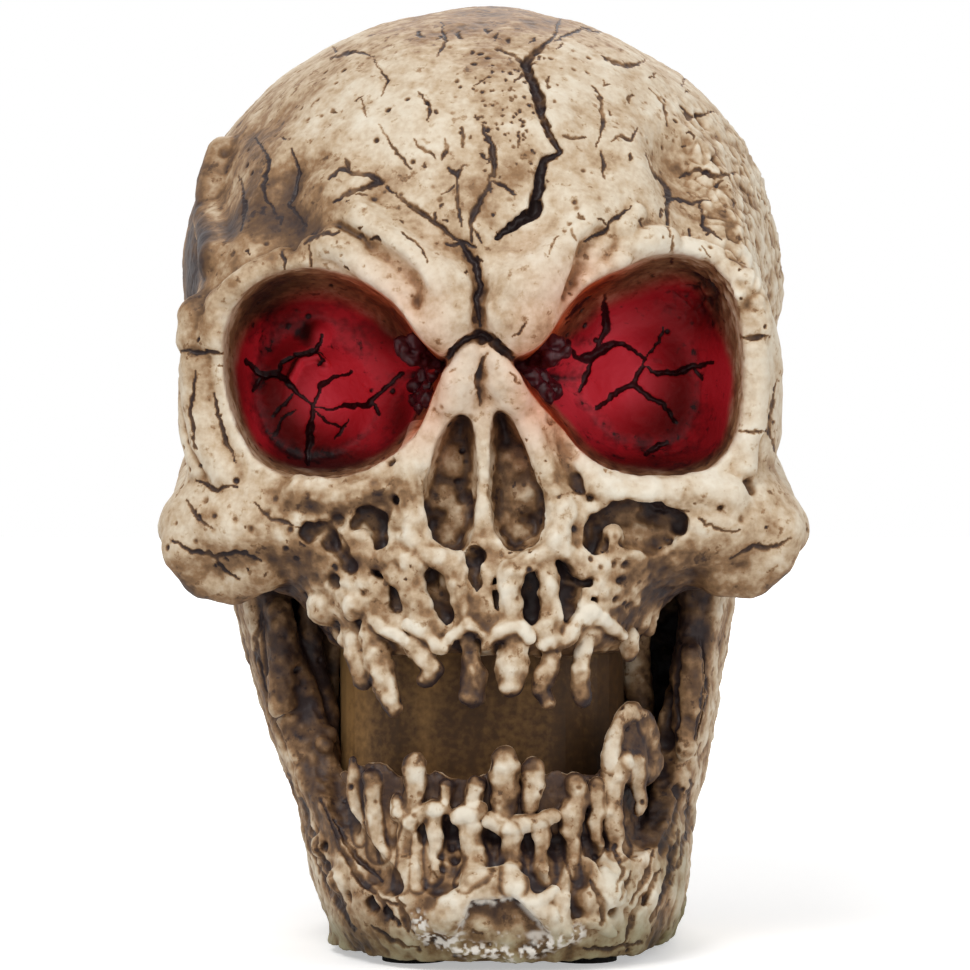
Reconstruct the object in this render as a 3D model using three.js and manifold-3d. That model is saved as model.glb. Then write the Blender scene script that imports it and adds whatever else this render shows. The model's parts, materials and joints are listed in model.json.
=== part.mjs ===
import * as THREE from 'three';
import { mergeVertices } from 'three/addons/utils/BufferGeometryUtils.js';
import Module from 'manifold-3d';

const wasm = await Module();
wasm.setup();

// A light-up skull in cast resin, in millimetres, +Z up, the face towards -Y, standing on z = 0.
// The vertical axis of the braincase is x = 0, y = 0 until the whole is centred at the end.

// Clearance between a piece and the one it is seated in.
const SEAT_GAP = 0.3;

// Braincase
const SKULL_HEIGHT = 197;
const VAULT_WIDTH = 128;
const VAULT_LENGTH = 152;
const VAULT_HEIGHT = 114;
const VAULT_TAPER = 0.06;
const RESIN_WALL = 7;
const HOLLOW_FRONT = 21;
const LOBE_WIDTH = 80;
const LOBE_LENGTH = 80;
const LOBE_HEIGHT = 48;
const LOBE_FORWARD = 22;
const LOBE_RISE = 22;

// Face, heights measured down or up from the middle of the braincase
const FACE_FRONT = 77;
const FACE_HALF_WIDTH = 60.5;
const FACE_POWER = 2.6;
const FACE_BACK = 20;
const GUM_DROP = 78;
const GUM_HALF_WIDTH = 29;
const GUM_FRONT = 79;
const ORBIT_WIDTH = 39;
const ORBIT_HEIGHT = 39.5;
const ORBIT_OFFSET = 32;
const ORBIT_DROP = 23.5;
const ORBIT_DEPTH = 27;
const ORBIT_RIM = 69;
const BROW_RADIUS = 3.8;
const FROWN_RADIUS = 6.4;
const NASAL_RADIUS = 4.4;
const SPLIT_RADIUS = 2.4;
const POCKET_RADIUS = 2.7;
const HOLLOW_REACH = 7;
const NOSE_WIDTH = 11.2;
const NOSE_HEIGHT = 27.5;
const NOSE_DEPTH = 17;
const NOSE_DROP = 44.5;
const SEPTUM_WIDTH = 2.6;
const CHEEK_WIDTH = 130;
const CHEEK_DROP = 54;
const CHEEK_HEIGHT = 26;
const CHEEK_LENGTH = 36;
const CHEEK_FORWARD = 52;
const CHEEK_SPAN = 44;
const ARCH_RADIUS = 5.5;
const ARCH_LENGTH = 66;
const ARCH_RISE = 22;
const ARCH_INSET = 10;
const UPPER_TOOTH_COUNT = 8;
const TOOTH_PITCH = 7.8;
const TOOTH_RADIUS = 3;
const UPPER_TOOTH_LENGTH = 15;

// Underside of the cranium, with the seat for the column
const SKULL_BASE_DROP = 62;
const SKULL_BASE_HALF_WIDTH = 53;
const SKULL_BASE_FRONT = 58;
const SKULL_BASE_BACK = 46;
const SEAT_DEPTH = 4;
const NECK_HALF_WIDTH = 22;
const NECK_FRONT = 33;
const NECK_BACK = 26;
const NECK_CORNER = 12;

// Felt pads
const PAD_DIAMETER = 13;
const PAD_THICKNESS = 1.5;
const PAD_FRONT_Y = -58;
const PAD_FRONT_X = 17;
const PAD_FRONT_SHIFT = 3.5;
const PAD_BACK_Y = 35;
const PAD_BACK_X = 13;

// Column behind the teeth
const COLUMN_HALF_WIDTH = 29;
const COLUMN_FRONT = 62;
const COLUMN_BACK = 33;
const COLUMN_FRONT_CORNER = 20;
const COLUMN_BACK_CORNER = 14;
const COLUMN_WALL = 5;
const COVER_LEDGE = 3;
const BOSS_RADIUS = 4;
const BOSS_HEIGHT = 12;
const BOSS_X = 20.6;
const BOSS_FRONT_Y = -31;
const BOSS_BACK_Y = 17;

// Jaw
const JAW_HALF_WIDTH = 54;
const JAW_CHIN_HALF_WIDTH = 39;
const JAW_FOOT_HALF_WIDTH = 32;
const JAW_FRONT = 82;
const JAW_BACK = 47;
const JAW_POWER = 2.7;
const JAW_WALL = 9.5;
const JAW_FRONT_WALL = 17;
const JAW_FLOOR = 11;
const JAW_RIM = 24;
const JAW_LEAN = 4.5;
const RAMUS_FRONT = 50;
const RAMUS_BACK = 4;
const LOWER_TOOTH_COUNT = 8;
const LOWER_TOOTH_LENGTH = 17;
const CHIP_WIDTH = 20;
const CHIP_HEIGHT = 10;
const CHIP_DEPTH = 3.5;

// Base cover, battery well and door
const COVER_THICKNESS = 2.6;
const COVER_INSET = 0.2;
const CELL_DIAMETER = 10.5;
const CELL_LENGTH = 44.5;
const CELL_PITCH = 11.2;
const NUB_DIAMETER = 3.8;
const NUB_LENGTH = 0.8;
const WELL_WALL = 2.2;
const WELL_ROOF = 1.8;
const WELL_SIDE_GAP = 0.45;
const DOOR_THICKNESS = 2.2;
const DOOR_LEDGE = 1.2;
const DOOR_PIN_RADIUS = 0.5;
const DOOR_PIN_LENGTH = 1.4;
const DOOR_GRIP_RADIUS = 5;
const CONTACT_THICKNESS = 0.5;
const CONTACT_WIDTH = 8;
const TAIL_WIDTH = 2.2;
const TAIL_RISE = 3.5;
const SPRING_LENGTH = 4.6;
const SPRING_WIRE = 0.6;
const SPRING_TURNS = 3.5;
const SPRING_BASE_RADIUS = 3.6;
const SPRING_TIP_RADIUS = 2.4;
const SCREW_RADIUS = 1.45;
const SCREW_HEAD_RADIUS = 2.8;
const SCREW_HEAD_HEIGHT = 1.6;
const SCREW_LENGTH = 9;

// Slide switch
const SWITCH_Y = -42;
const SWITCH_WIDTH = 12;
const SWITCH_DEPTH = 6.6;
const SWITCH_HEIGHT = 5.5;
const SWITCH_EAR = 0.9;
const SWITCH_EAR_SPAN = 8.4;
const SLIDER_WIDTH = 4;
const SLIDER_DEPTH = 3;
const SLIDER_SHOULDER = 0.5;
const SLIDER_TRAVEL = 3;
const SLIDER_KNOB = 0.8;
const SLIDER_HEAD = 2.7;
const TERMINAL_WIDTH = 1;
const TERMINAL_THICKNESS = 0.5;
const TERMINAL_RISE = 3;
const TERMINAL_SEAT = 1.5;
const TERMINAL_PITCH = 5;
const SWITCH_SCREW_RADIUS = 1;
const SWITCH_SCREW_HEAD = 1.9;
const SWITCH_SCREW_LENGTH = 4.6;

// Lamps and wires
const LED_RADIUS = 2.5;
const LED_LENGTH = 8.6;
const LED_FLANGE_RADIUS = 2.9;
const LED_FLANGE_HEIGHT = 1;
const LED_DROP = 19;
const LED_ROOT_X = 1.5;
const LED_ROOT_Y = -42;
const LED_TURN = 37;
const LED_RISE = 3;
const LED_REACH = 21;
const LED_BORE_RADIUS = 3.3;
const GLUE_RADIUS = 4.4;
const GLUE_LENGTH = 4;
const LEAD_PITCH = 2.54;
const LEAD_RADIUS = 0.28;
const LEAD_LENGTH = 4;
const CHANNEL_RADIUS = 4;
const CHANNEL_FRONT = 45;
const WIRE_RADIUS = 0.6;
const RED_WIRE_LANE = 13;
const BLACK_WIRE_LANE = 6;
const WIRE_STEPS = 14;

// Heights worked out from the sizes above
const vaultMidZ = SKULL_HEIGHT - VAULT_HEIGHT / 2;
const floorZ = PAD_THICKNESS + SEAT_GAP;
const skullBaseZ = vaultMidZ - SKULL_BASE_DROP;
const gumZ = vaultMidZ - GUM_DROP;
const cheekZ = vaultMidZ - CHEEK_DROP;
const orbitZ = vaultMidZ - ORBIT_DROP;
const noseZ = vaultMidZ - NOSE_DROP;
const ledZ = vaultMidZ - LED_DROP;
const coverZ = floorZ + COVER_INSET;
const coverTopZ = coverZ + COVER_THICKNESS;
const ledgeZ = coverTopZ + SEAT_GAP;
const wellHalfWidth = CELL_PITCH / 2 + CELL_DIAMETER / 2 + WELL_SIDE_GAP;
const wellHalfLength = (CELL_LENGTH + SPRING_LENGTH) / 2 + CONTACT_THICKNESS + 2.5 * SEAT_GAP;
const doorTopZ = coverZ + DOOR_THICKNESS;
const cellZ = doorTopZ + SEAT_GAP + 0.2 + CELL_DIAMETER / 2;
const wellTopZ = cellZ + CELL_DIAMETER / 2 + 0.5;
const sides = [-1, 1];

function v(x, y, z) {
  return new THREE.Vector3(x, y, z);
}

// Flips the faces of a closed skin when they point inwards.
function outward(geometry) {
  const p = geometry.attributes.position;
  const index = Array.from(geometry.index.array);
  let volume = 0;
  for (let i = 0; i < index.length; i += 3) {
    const a = new THREE.Vector3().fromBufferAttribute(p, index[i]);
    const b = new THREE.Vector3().fromBufferAttribute(p, index[i + 1]);
    const c = new THREE.Vector3().fromBufferAttribute(p, index[i + 2]);
    volume += a.dot(b.cross(c));
  }
  geometry.setIndex(volume < 0 ? index.reverse() : index);
  return geometry;
}

// A closed skin through rings of equal count, with a point at either end.
function loft(rings, startTip, endTip) {
  const count = rings[0].length;
  const points = rings.flat();
  const middle = (ring) => ring.reduce((sum, q) => sum.add(q), v(0, 0, 0)).divideScalar(count);
  points.push(startTip || middle(rings[0]));
  points.push(endTip || middle(rings[rings.length - 1]));
  const index = [];
  for (let i = 0; i < count; i += 1) {
    const j = (i + 1) % count;
    for (let r = 0; r + 1 < rings.length; r += 1) {
      const low = r * count;
      const high = low + count;
      index.push(low + i, low + j, high + j);
      index.push(low + i, high + j, high + i);
    }
    const last = (rings.length - 1) * count;
    index.push(j, i, points.length - 2);
    index.push(last + i, last + j, points.length - 1);
  }
  const geometry = new THREE.BufferGeometry().setFromPoints(points);
  geometry.setIndex(index);
  return outward(geometry);
}

// A level superellipse ring of given half width between a front and a back y.
function levelRing(z, halfWidth, front, back, power, count, shiftX = 0) {
  return Array.from({ length: count }, (_, i) => {
    const angle = (2 * Math.PI * i) / count;
    const c = Math.cos(angle);
    const s = Math.sin(angle);
    const x = Math.sign(c) * Math.abs(c) ** (2 / power) * halfWidth;
    const y = (Math.sign(s) * Math.abs(s) ** (2 / power) * (back - front)) / 2;
    return v(shiftX + x, (front + back) / 2 + y, z);
  });
}

// A round ridge along a smooth path, its radius changing evenly from start to end.
function ridge(points, startRadius, endRadius, steps, count) {
  const path = new THREE.CatmullRomCurve3(points);
  const frames = path.computeFrenetFrames(steps, false);
  const rings = frames.tangents.map((_, i) => {
    const radius = startRadius + ((endRadius - startRadius) * i) / steps;
    const centre = path.getPointAt(i / steps);
    return Array.from({ length: count }, (__, k) => {
      const angle = (2 * Math.PI * k) / count;
      const out = frames.normals[i].clone().multiplyScalar(radius * Math.cos(angle));
      out.addScaledVector(frames.binormals[i], radius * Math.sin(angle));
      return out.add(centre);
    });
  });
  const startTip = path.getPointAt(0).addScaledVector(frames.tangents[0], -0.6 * startRadius);
  const endTip = path.getPointAt(1).addScaledVector(frames.tangents[steps], 0.6 * endRadius);
  return loft(rings, startTip, endTip);
}

function ellipsoid(centre, radii, columns, rows) {
  const geometry = new THREE.SphereGeometry(1, columns, rows);
  geometry.scale(radii.x, radii.y, radii.z);
  return geometry.translate(centre.x, centre.y, centre.z);
}

function box(x0, x1, y0, y1, z0, z1) {
  const geometry = new THREE.BoxGeometry(x1 - x0, y1 - y0, z1 - z0);
  return geometry.translate((x0 + x1) / 2, (y0 + y1) / 2, (z0 + z1) / 2);
}

// A round bar from one point to another.
function bar(from, to, radius, count) {
  const reach = to.clone().sub(from);
  const geometry = new THREE.CylinderGeometry(radius, radius, reach.length(), count);
  const turn = new THREE.Quaternion().setFromUnitVectors(v(0, 1, 0), reach.clone().normalize());
  geometry.applyQuaternion(turn);
  const mid = from.clone().add(to).multiplyScalar(0.5);
  return geometry.translate(mid.x, mid.y, mid.z);
}

// A body turned about an axis that starts at a point; the profile gives radius and reach.
function turned(profile, from, direction, count) {
  const geometry = new THREE.LatheGeometry(profile.map(([r, h]) => new THREE.Vector2(r, h)), count);
  geometry.applyQuaternion(new THREE.Quaternion().setFromUnitVectors(v(0, 1, 0), direction));
  return geometry.translate(from.x, from.y, from.z);
}

// A rounded oblong seen from above, its front and back corners rounded by their own radius.
function oblong(halfWidth, front, back, frontCorner, backCorner) {
  const shape = new THREE.Shape();
  shape.moveTo(-halfWidth + frontCorner, front);
  shape.lineTo(halfWidth - frontCorner, front);
  shape.absarc(halfWidth - frontCorner, front + frontCorner, frontCorner, -Math.PI / 2, 0, false);
  shape.lineTo(halfWidth, back - backCorner);
  shape.absarc(halfWidth - backCorner, back - backCorner, backCorner, 0, Math.PI / 2, false);
  shape.lineTo(-halfWidth + backCorner, back);
  shape.absarc(-halfWidth + backCorner, back - backCorner, backCorner, Math.PI / 2, Math.PI, false);
  shape.lineTo(-halfWidth, front + frontCorner);
  shape.absarc(-halfWidth + frontCorner, front + frontCorner, frontCorner, Math.PI, 1.5 * Math.PI, false);
  return shape;
}

function upright(shape, z0, z1, curveSegments = 4) {
  const options = { depth: z1 - z0, bevelEnabled: false, curveSegments };
  return new THREE.ExtrudeGeometry(shape, options).translate(0, 0, z0);
}

// A round wire along a smooth path.
function wire(points, radius, steps) {
  const section = new THREE.Shape();
  section.absarc(0, 0, radius, 0, 2 * Math.PI, false);
  const extrudePath = new THREE.CatmullRomCurve3(points);
  return new THREE.ExtrudeGeometry(section, { steps, extrudePath, bevelEnabled: false, curveSegments: 3 });
}

// A closed skin as a body that can be joined and cut.
function solid(geometry) {
  const bare = geometry.clone();
  bare.deleteAttribute('normal');
  bare.deleteAttribute('uv');
  const merged = mergeVertices(bare, 1e-4);
  const vertProperties = new Float32Array(merged.attributes.position.array);
  const triVerts = new Uint32Array(merged.index.array);
  return new wasm.Manifold(new wasm.Mesh({ numProp: 3, vertProperties, triVerts }));
}

function join(geometries) {
  return geometries.map(solid).reduce((sum, body) => sum.add(body));
}

function cut(body, geometries) {
  return geometries.map(solid).reduce((rest, tool) => rest.subtract(tool), body);
}

function skin(body) {
  const found = body.getMesh();
  const geometry = new THREE.BufferGeometry();
  geometry.setAttribute('position', new THREE.BufferAttribute(new Float32Array(found.vertProperties), 3));
  geometry.setIndex(Array.from(found.triVerts));
  return geometry;
}

const skull = new THREE.Group();
skull.name = 'halloween_skull';

function place(name, shape, color, roughness, metalness = 0) {
  const geometry = shape.isBufferGeometry ? shape : skin(shape);
  geometry.computeVertexNormals();
  const mesh = new THREE.Mesh(geometry, new THREE.MeshStandardMaterial({ color, roughness, metalness }));
  mesh.name = name;
  skull.add(mesh);
  return mesh;
}

const BONE = 0xcbb48f;
const THROAT_BROWN = 0x66492f;
const FELT_BLACK = 0x1d1b1a;
const COVER_BLACK = 0x26262a;
const CELL_GREEN = 0x3c6b4a;
const BRASS = 0xb9a065;
const STEEL = 0xb4b6b8;
const SLIDER_WHITE = 0xd9d9d4;
const LAMP_RED = 0xd01818;
const GLUE_BROWN = 0x2c1a15;
const WIRE_RED = 0xa81e1e;
const WIRE_BLACK = 0x1c1c1e;

// Column: a rounded hollow neck with a step and four screw bosses for the base cover.
const columnTopZ = skullBaseZ + SEAT_DEPTH - SEAT_GAP;

function columnOutline(grow) {
  return oblong(
    COLUMN_HALF_WIDTH + grow,
    -COLUMN_FRONT - grow,
    COLUMN_BACK + grow,
    COLUMN_FRONT_CORNER + grow,
    COLUMN_BACK_CORNER + grow,
  );
}

const bossPoints = [BOSS_FRONT_Y, BOSS_BACK_Y].flatMap((y) => sides.map((side) => v(side * BOSS_X, y, 0)));
const columnShell = cut(solid(upright(columnOutline(0), floorZ, columnTopZ)), [
  upright(columnOutline(-COLUMN_WALL), floorZ - 1, columnTopZ + 1),
]);
const bosses = bossPoints.map((p) =>
  bar(v(p.x, p.y, ledgeZ), v(p.x, p.y, ledgeZ + BOSS_HEIGHT), BOSS_RADIUS, 14));
const screwHoles = bossPoints.map((p) =>
  bar(v(p.x, p.y, coverZ - 1), v(p.x, p.y, coverZ + SCREW_LENGTH + 1), SCREW_RADIUS + SEAT_GAP, 10));
const column = cut(bosses.map(solid).reduce((sum, body) => sum.add(body), columnShell), [
  upright(columnOutline(COVER_LEDGE - COLUMN_WALL), floorZ - 1, ledgeZ),
  ...screwHoles,
]);
place('throat_column', column, THROAT_BROWN, 0.72);

// Cranium
// Levels from the forehead to the upper jaw: the drop as a share of the way to the gum,
// the width and the front as shares of the face's own.
const faceLevels = [
  { drop: -0.205, width: 0.74, front: 0.87 },
  { drop: 0.09, width: 0.98, front: 1 },
  { drop: 0.308, width: 1, front: 0.974 },
  { drop: 0.538, width: 0.985, front: 0.987 },
  { drop: 0.68, width: 0.95, front: 1 },
  { drop: 0.782, width: 0.72, front: 1.013 },
];
const gumStations = [
  { rise: 10, grow: 6, front: GUM_FRONT + 1 },
  { rise: 3, grow: 1.5, front: GUM_FRONT },
  { rise: 0, grow: -3, front: GUM_FRONT - 4 },
];
const faceRings = faceLevels.map((s) => {
  const z = vaultMidZ - GUM_DROP * s.drop;
  return levelRing(z, FACE_HALF_WIDTH * s.width, -FACE_FRONT * s.front, -FACE_BACK, FACE_POWER, 32);
});
const gumRings = gumStations.map((s) =>
  levelRing(gumZ + s.rise, GUM_HALF_WIDTH + s.grow, -s.front, -FACE_BACK, FACE_POWER, 32));
const face = loft([...faceRings, ...gumRings]);

const vault = new THREE.SphereGeometry(1, 34, 22);
vault.rotateX(Math.PI / 2);
const vaultPoint = vault.attributes.position;
for (let i = 0; i < vaultPoint.count; i += 1) {
  const y = vaultPoint.getY(i);
  const x = vaultPoint.getX(i) * (1 + VAULT_TAPER * y);
  vaultPoint.setXYZ(
    i,
    (x * VAULT_WIDTH) / 2,
    (y * VAULT_LENGTH) / 2,
    vaultMidZ + (vaultPoint.getZ(i) * VAULT_HEIGHT) / 2,
  );
}

// Underside: each level's rise over the skull base and its growth at the sides, front and back.
const baseLevels = [
  { rise: 0, side: 0, front: 0, back: 0 },
  { rise: 14, side: 5, front: 2, back: 6 },
  { rise: 32, side: 6, front: 2, back: 10 },
  { rise: 42, side: 3, front: 0, back: 0 },
];
const skullBase = loft(baseLevels.map((s) => levelRing(
  skullBaseZ + s.rise,
  SKULL_BASE_HALF_WIDTH + s.side,
  -SKULL_BASE_FRONT - s.front,
  SKULL_BASE_BACK + s.back,
  FACE_POWER,
  28,
)));

// Cheekbones reach out to the full width and run back along the side as a raised arch.
function cheek(side, grow) {
  const half = CHEEK_SPAN / 2;
  const centre = v(side * (CHEEK_WIDTH / 2 - half), -CHEEK_FORWARD, cheekZ);
  return ellipsoid(centre, v(half + grow, CHEEK_LENGTH / 2 + grow, CHEEK_HEIGHT / 2 + grow), 14, 8);
}

function arch(side, grow) {
  const outer = CHEEK_WIDTH / 2 - ARCH_RADIUS - 0.5;
  const along = (inset, reach, rise) => v(
    side * (outer - ARCH_INSET * inset),
    -CHEEK_FORWARD + ARCH_LENGTH * reach,
    cheekZ + ARCH_RISE * rise,
  );
  const points = [along(0.5, 0.09, 0), along(0, 0.394, 0.18), along(0.2, 0.758, 0.64), along(1, 1, 1)];
  return ridge(points, ARCH_RADIUS + grow, ARCH_RADIUS + grow, 8, 8);
}

// Brow arcs above the sockets and frowning lobes that run down to the root of the nose.
function brow(side) {
  const half = ORBIT_WIDTH / 2;
  const top = orbitZ + ORBIT_HEIGHT / 2;
  const points = [
    v(side * (ORBIT_OFFSET - half + 3), -FACE_FRONT + 2, top - 4),
    v(side * (ORBIT_OFFSET - 8), -FACE_FRONT + 3, top + 3),
    v(side * (ORBIT_OFFSET + 4), -FACE_FRONT + 6, top + 4.5),
    v(side * (ORBIT_OFFSET + half - 5), -FACE_FRONT + 12, top + 1.5),
    v(side * (ORBIT_OFFSET + half + 3), -FACE_FRONT + 20, top - 9),
    v(side * (ORBIT_OFFSET + half + 4.5), -FACE_FRONT + 23, top - 21),
  ];
  return ridge(points, BROW_RADIUS, BROW_RADIUS, 12, 8);
}

function frown(side) {
  const top = orbitZ + ORBIT_HEIGHT / 2;
  const points = [
    v(side * 27, -FACE_FRONT + 12.5, top + 14),
    v(side * 15, -FACE_FRONT + 3.5, top + 5.5),
    v(side * 7.5, -FACE_FRONT + 1.5, top - 4),
    v(side * 6, -FACE_FRONT + 1.5, top - 11),
  ];
  return ridge(points, FROWN_RADIUS - 1, FROWN_RADIUS, 8, 8);
}

function nasalBone(side) {
  const top = noseZ + NOSE_HEIGHT / 2;
  const points = [v(side * 4, -FACE_FRONT + 2, top + 12), v(side * 4.6, -FACE_FRONT - 0.5, top + 1)];
  return ridge(points, NASAL_RADIUS, NASAL_RADIUS, 3, 8);
}

// Deep split down the forehead, from the crown to between the brow lobes: across and rise over the middle.
const splitCourse = [[15.5, 50], [8.7, 41], [12.9, 25.5], [11, 12], [3, 4]];

function split() {
  const points = splitCourse.map(([x, rise]) => {
    const across = x / (VAULT_WIDTH / 2);
    const up = rise / (VAULT_HEIGHT / 2);
    return v(x, -(VAULT_LENGTH / 2) * Math.sqrt(1 - across * across - up * up), vaultMidZ + rise);
  });
  return ridge(points, SPLIT_RADIUS, SPLIT_RADIUS, 8, 6);
}

// Pockets between the roots of the upper teeth, and a hollow under each cheekbone.
const pocketCourse = [-11.5, -2.5, 9.5, 16.5];

function pocket(x) {
  const centre = v(x, -GUM_FRONT - 1 + Math.abs(x) / 10, gumZ + 11);
  return ellipsoid(centre, v(POCKET_RADIUS, POCKET_RADIUS, POCKET_RADIUS * 1.7), 8, 6);
}

function cheekHollow(side) {
  const centre = v(side * (GUM_HALF_WIDTH - 1), -GUM_FRONT + 4, cheekZ);
  return ellipsoid(centre, v(HOLLOW_REACH, HOLLOW_REACH * 0.6, HOLLOW_REACH * 0.5), 10, 6);
}

// A row of pegs on the curve of a dental arch.
function teeth(count, halfWidth, front, back, fromZ, toZ, shiftX, lean) {
  return Array.from({ length: count }, (_, i) => {
    const x = (i - (count - 1) / 2) * TOOTH_PITCH;
    const across = Math.min(Math.abs(x) / halfWidth, 0.97);
    const reach = (1 - across ** FACE_POWER) ** (1 / FACE_POWER);
    const y = (front + back) / 2 - (reach * (back - front)) / 2;
    const root = v(shiftX + x, y + TOOTH_RADIUS * 0.7, fromZ);
    const tip = v(shiftX + x * 0.98, y + TOOTH_RADIUS * 0.7 + lean, toZ);
    return ridge([root, tip], TOOTH_RADIUS * 1.1, TOOTH_RADIUS * 0.8, 2, 8);
  });
}

const upperTeeth = teeth(
  UPPER_TOOTH_COUNT,
  GUM_HALF_WIDTH + 1.5,
  -GUM_FRONT,
  -FACE_BACK,
  gumZ + 9,
  gumZ + 2 - UPPER_TOOTH_LENGTH + TOOTH_RADIUS * 0.5,
  0,
  0,
);

// Socket: a slanting rounded opening that narrows towards its end.
const orbitCorners = [
  [-1, 0.3],
  [-0.45, 0.86],
  [0.1, 1],
  [0.68, 0.8],
  [1, 0.1],
  [0.64, -0.82],
  [0, -1],
  [-0.66, -0.6],
];

function socket(side) {
  const outline = new THREE.CatmullRomCurve3(orbitCorners.map(([a, b]) => v(a, b, 0)), true);
  const unit = outline.getPoints(24).slice(0, 24);
  const stations = [
    { y: -FACE_FRONT - 14, scale: 1.12 },
    { y: -ORBIT_RIM, scale: 1 },
    { y: -ORBIT_RIM + ORBIT_DEPTH * 0.55, scale: 0.95 },
    { y: -ORBIT_RIM + ORBIT_DEPTH * 0.85, scale: 0.76 },
    { y: -ORBIT_RIM + ORBIT_DEPTH, scale: 0.4 },
  ];
  return loft(stations.map((s) => unit.map((q) => v(
    side * (ORBIT_OFFSET + (q.x * s.scale * ORBIT_WIDTH) / 2),
    s.y,
    orbitZ + (q.y * s.scale * ORBIT_HEIGHT) / 2,
  ))));
}

// Pear-shaped nose opening beside the middle wall.
function nostril(side) {
  const half = NOSE_HEIGHT / 2;
  const corners = [
    v(0, 0, half),
    v(0.35 * NOSE_WIDTH, 0, half * 0.95),
    v(0.75 * NOSE_WIDTH, 0, half * 0.3),
    v(NOSE_WIDTH, 0, -half * 0.5),
    v(0.8 * NOSE_WIDTH, 0, -half * 0.9),
    v(0.35 * NOSE_WIDTH, 0, -half),
    v(0, 0, -half * 0.55),
  ];
  const unit = new THREE.CatmullRomCurve3(corners, true).getPoints(14).slice(0, 14);
  const ringAt = (y, scale) => unit.map((q) => v(
    side * (SEPTUM_WIDTH / 2 + q.x * scale),
    y,
    noseZ + q.z * scale,
  ));
  return loft([
    ringAt(-FACE_FRONT - 14, 1),
    ringAt(-FACE_FRONT + NOSE_DEPTH * 0.6, 1),
    ringAt(-FACE_FRONT + NOSE_DEPTH, 0.6),
  ]);
}

// Hollow of the braincase with a lobe behind the forehead and a neck down to the column.
const hollowBack = VAULT_LENGTH / 2 - RESIN_WALL;
const hollow = ellipsoid(
  v(0, (hollowBack - HOLLOW_FRONT) / 2, vaultMidZ),
  v(VAULT_WIDTH / 2 - RESIN_WALL, (hollowBack + HOLLOW_FRONT) / 2, VAULT_HEIGHT / 2 - RESIN_WALL),
  20,
  12,
);
const lobe = ellipsoid(
  v(0, -LOBE_FORWARD, vaultMidZ + LOBE_RISE),
  v(LOBE_WIDTH / 2, LOBE_LENGTH / 2, LOBE_HEIGHT / 2),
  16,
  8,
);
const neck = upright(
  oblong(NECK_HALF_WIDTH, -NECK_FRONT, NECK_BACK, NECK_CORNER, NECK_CORNER),
  skullBaseZ - 1,
  vaultMidZ - 20,
  4,
);
const seat = upright(columnOutline(SEAT_GAP), gumZ - 20, skullBaseZ + SEAT_DEPTH);

// Each lamp looks out of the inner wall of its socket along its own axis.
function ledAxis(side) {
  const turn = THREE.MathUtils.degToRad(LED_TURN);
  const rise = THREE.MathUtils.degToRad(LED_RISE);
  return v(side * Math.sin(turn) * Math.cos(rise), -Math.cos(turn) * Math.cos(rise), Math.sin(rise));
}

function ledPoint(side, reach) {
  return v(side * LED_ROOT_X, LED_ROOT_Y, ledZ).addScaledVector(ledAxis(side), reach);
}

const glueStart = LED_REACH - LED_LENGTH + LED_FLANGE_HEIGHT + 1.6;
const lampBores = sides.flatMap((side) => [
  bar(ledPoint(side, 0), ledPoint(side, LED_REACH + 8), LED_BORE_RADIUS, 16),
  bar(ledPoint(side, glueStart - SEAT_GAP), ledPoint(side, LED_REACH + 8), GLUE_RADIUS + SEAT_GAP, 20),
]);
const channel = bar(v(0, -CHANNEL_FRONT, ledZ), v(0, 0, ledZ), CHANNEL_RADIUS, 20);

const craniumBlank = join([
  vault,
  face,
  skullBase,
  ...sides.flatMap((side) => [cheek(side, 0), arch(side, 0), brow(side), frown(side), nasalBone(side)]),
  ...upperTeeth,
]);
const cranium = cut(craniumBlank, [
  ...sides.flatMap((side) => [socket(side), nostril(side), cheekHollow(side)]),
  split(),
  ...pocketCourse.map(pocket),
  hollow,
  lobe,
  neck,
  seat,
  channel,
  ...lampBores,
]);
place('cranium', cranium, BONE, 0.62);

// Jaw: a leaning tapered shell with a floor, open above the rim and behind the upright branches.
const jawTopZ = skullBaseZ - SEAT_GAP;

function jawShift(z) {
  return JAW_LEAN * (1 - (z - floorZ) / (jawTopZ - floorZ));
}

const jawEdgeHalf = (JAW_FOOT_HALF_WIDTH + JAW_CHIN_HALF_WIDTH) / 2;
const jawMidHalf = (JAW_CHIN_HALF_WIDTH + JAW_HALF_WIDTH) / 2;
const jawMidZ = (floorZ + jawTopZ) / 2 + 5;
const jawStations = [
  { z: floorZ, half: JAW_FOOT_HALF_WIDTH, front: JAW_FRONT - 8, back: JAW_BACK - 2 },
  { z: floorZ + 4, half: jawEdgeHalf, front: JAW_FRONT - 2, back: JAW_BACK },
  { z: floorZ + 12, half: JAW_CHIN_HALF_WIDTH, front: JAW_FRONT, back: JAW_BACK },
  { z: floorZ + 27, half: JAW_CHIN_HALF_WIDTH + 2.5, front: JAW_FRONT - 5, back: JAW_BACK - 6 },
  { z: jawMidZ, half: jawMidHalf, front: JAW_FRONT - 8, back: JAW_BACK - 9 },
  { z: jawTopZ, half: JAW_HALF_WIDTH, front: JAW_FRONT - 16, back: JAW_BACK - 11 },
];
const jawOuter = loft(jawStations.map((s) =>
  levelRing(s.z, s.half, -s.front, s.back, JAW_POWER, 40, jawShift(s.z))));
const jawInnerLevels = [floorZ + JAW_FLOOR, ...jawStations.slice(3).map((s) => s.z), jawTopZ + 5];
const jawInner = loft(jawInnerLevels.map((z, i) => {
  const s = jawStations[Math.min(i + 2, jawStations.length - 1)];
  const front = -s.front + JAW_FRONT_WALL;
  return levelRing(z, s.half - JAW_WALL, front, s.back - JAW_WALL, JAW_POWER, 32, jawShift(z));
}));

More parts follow.
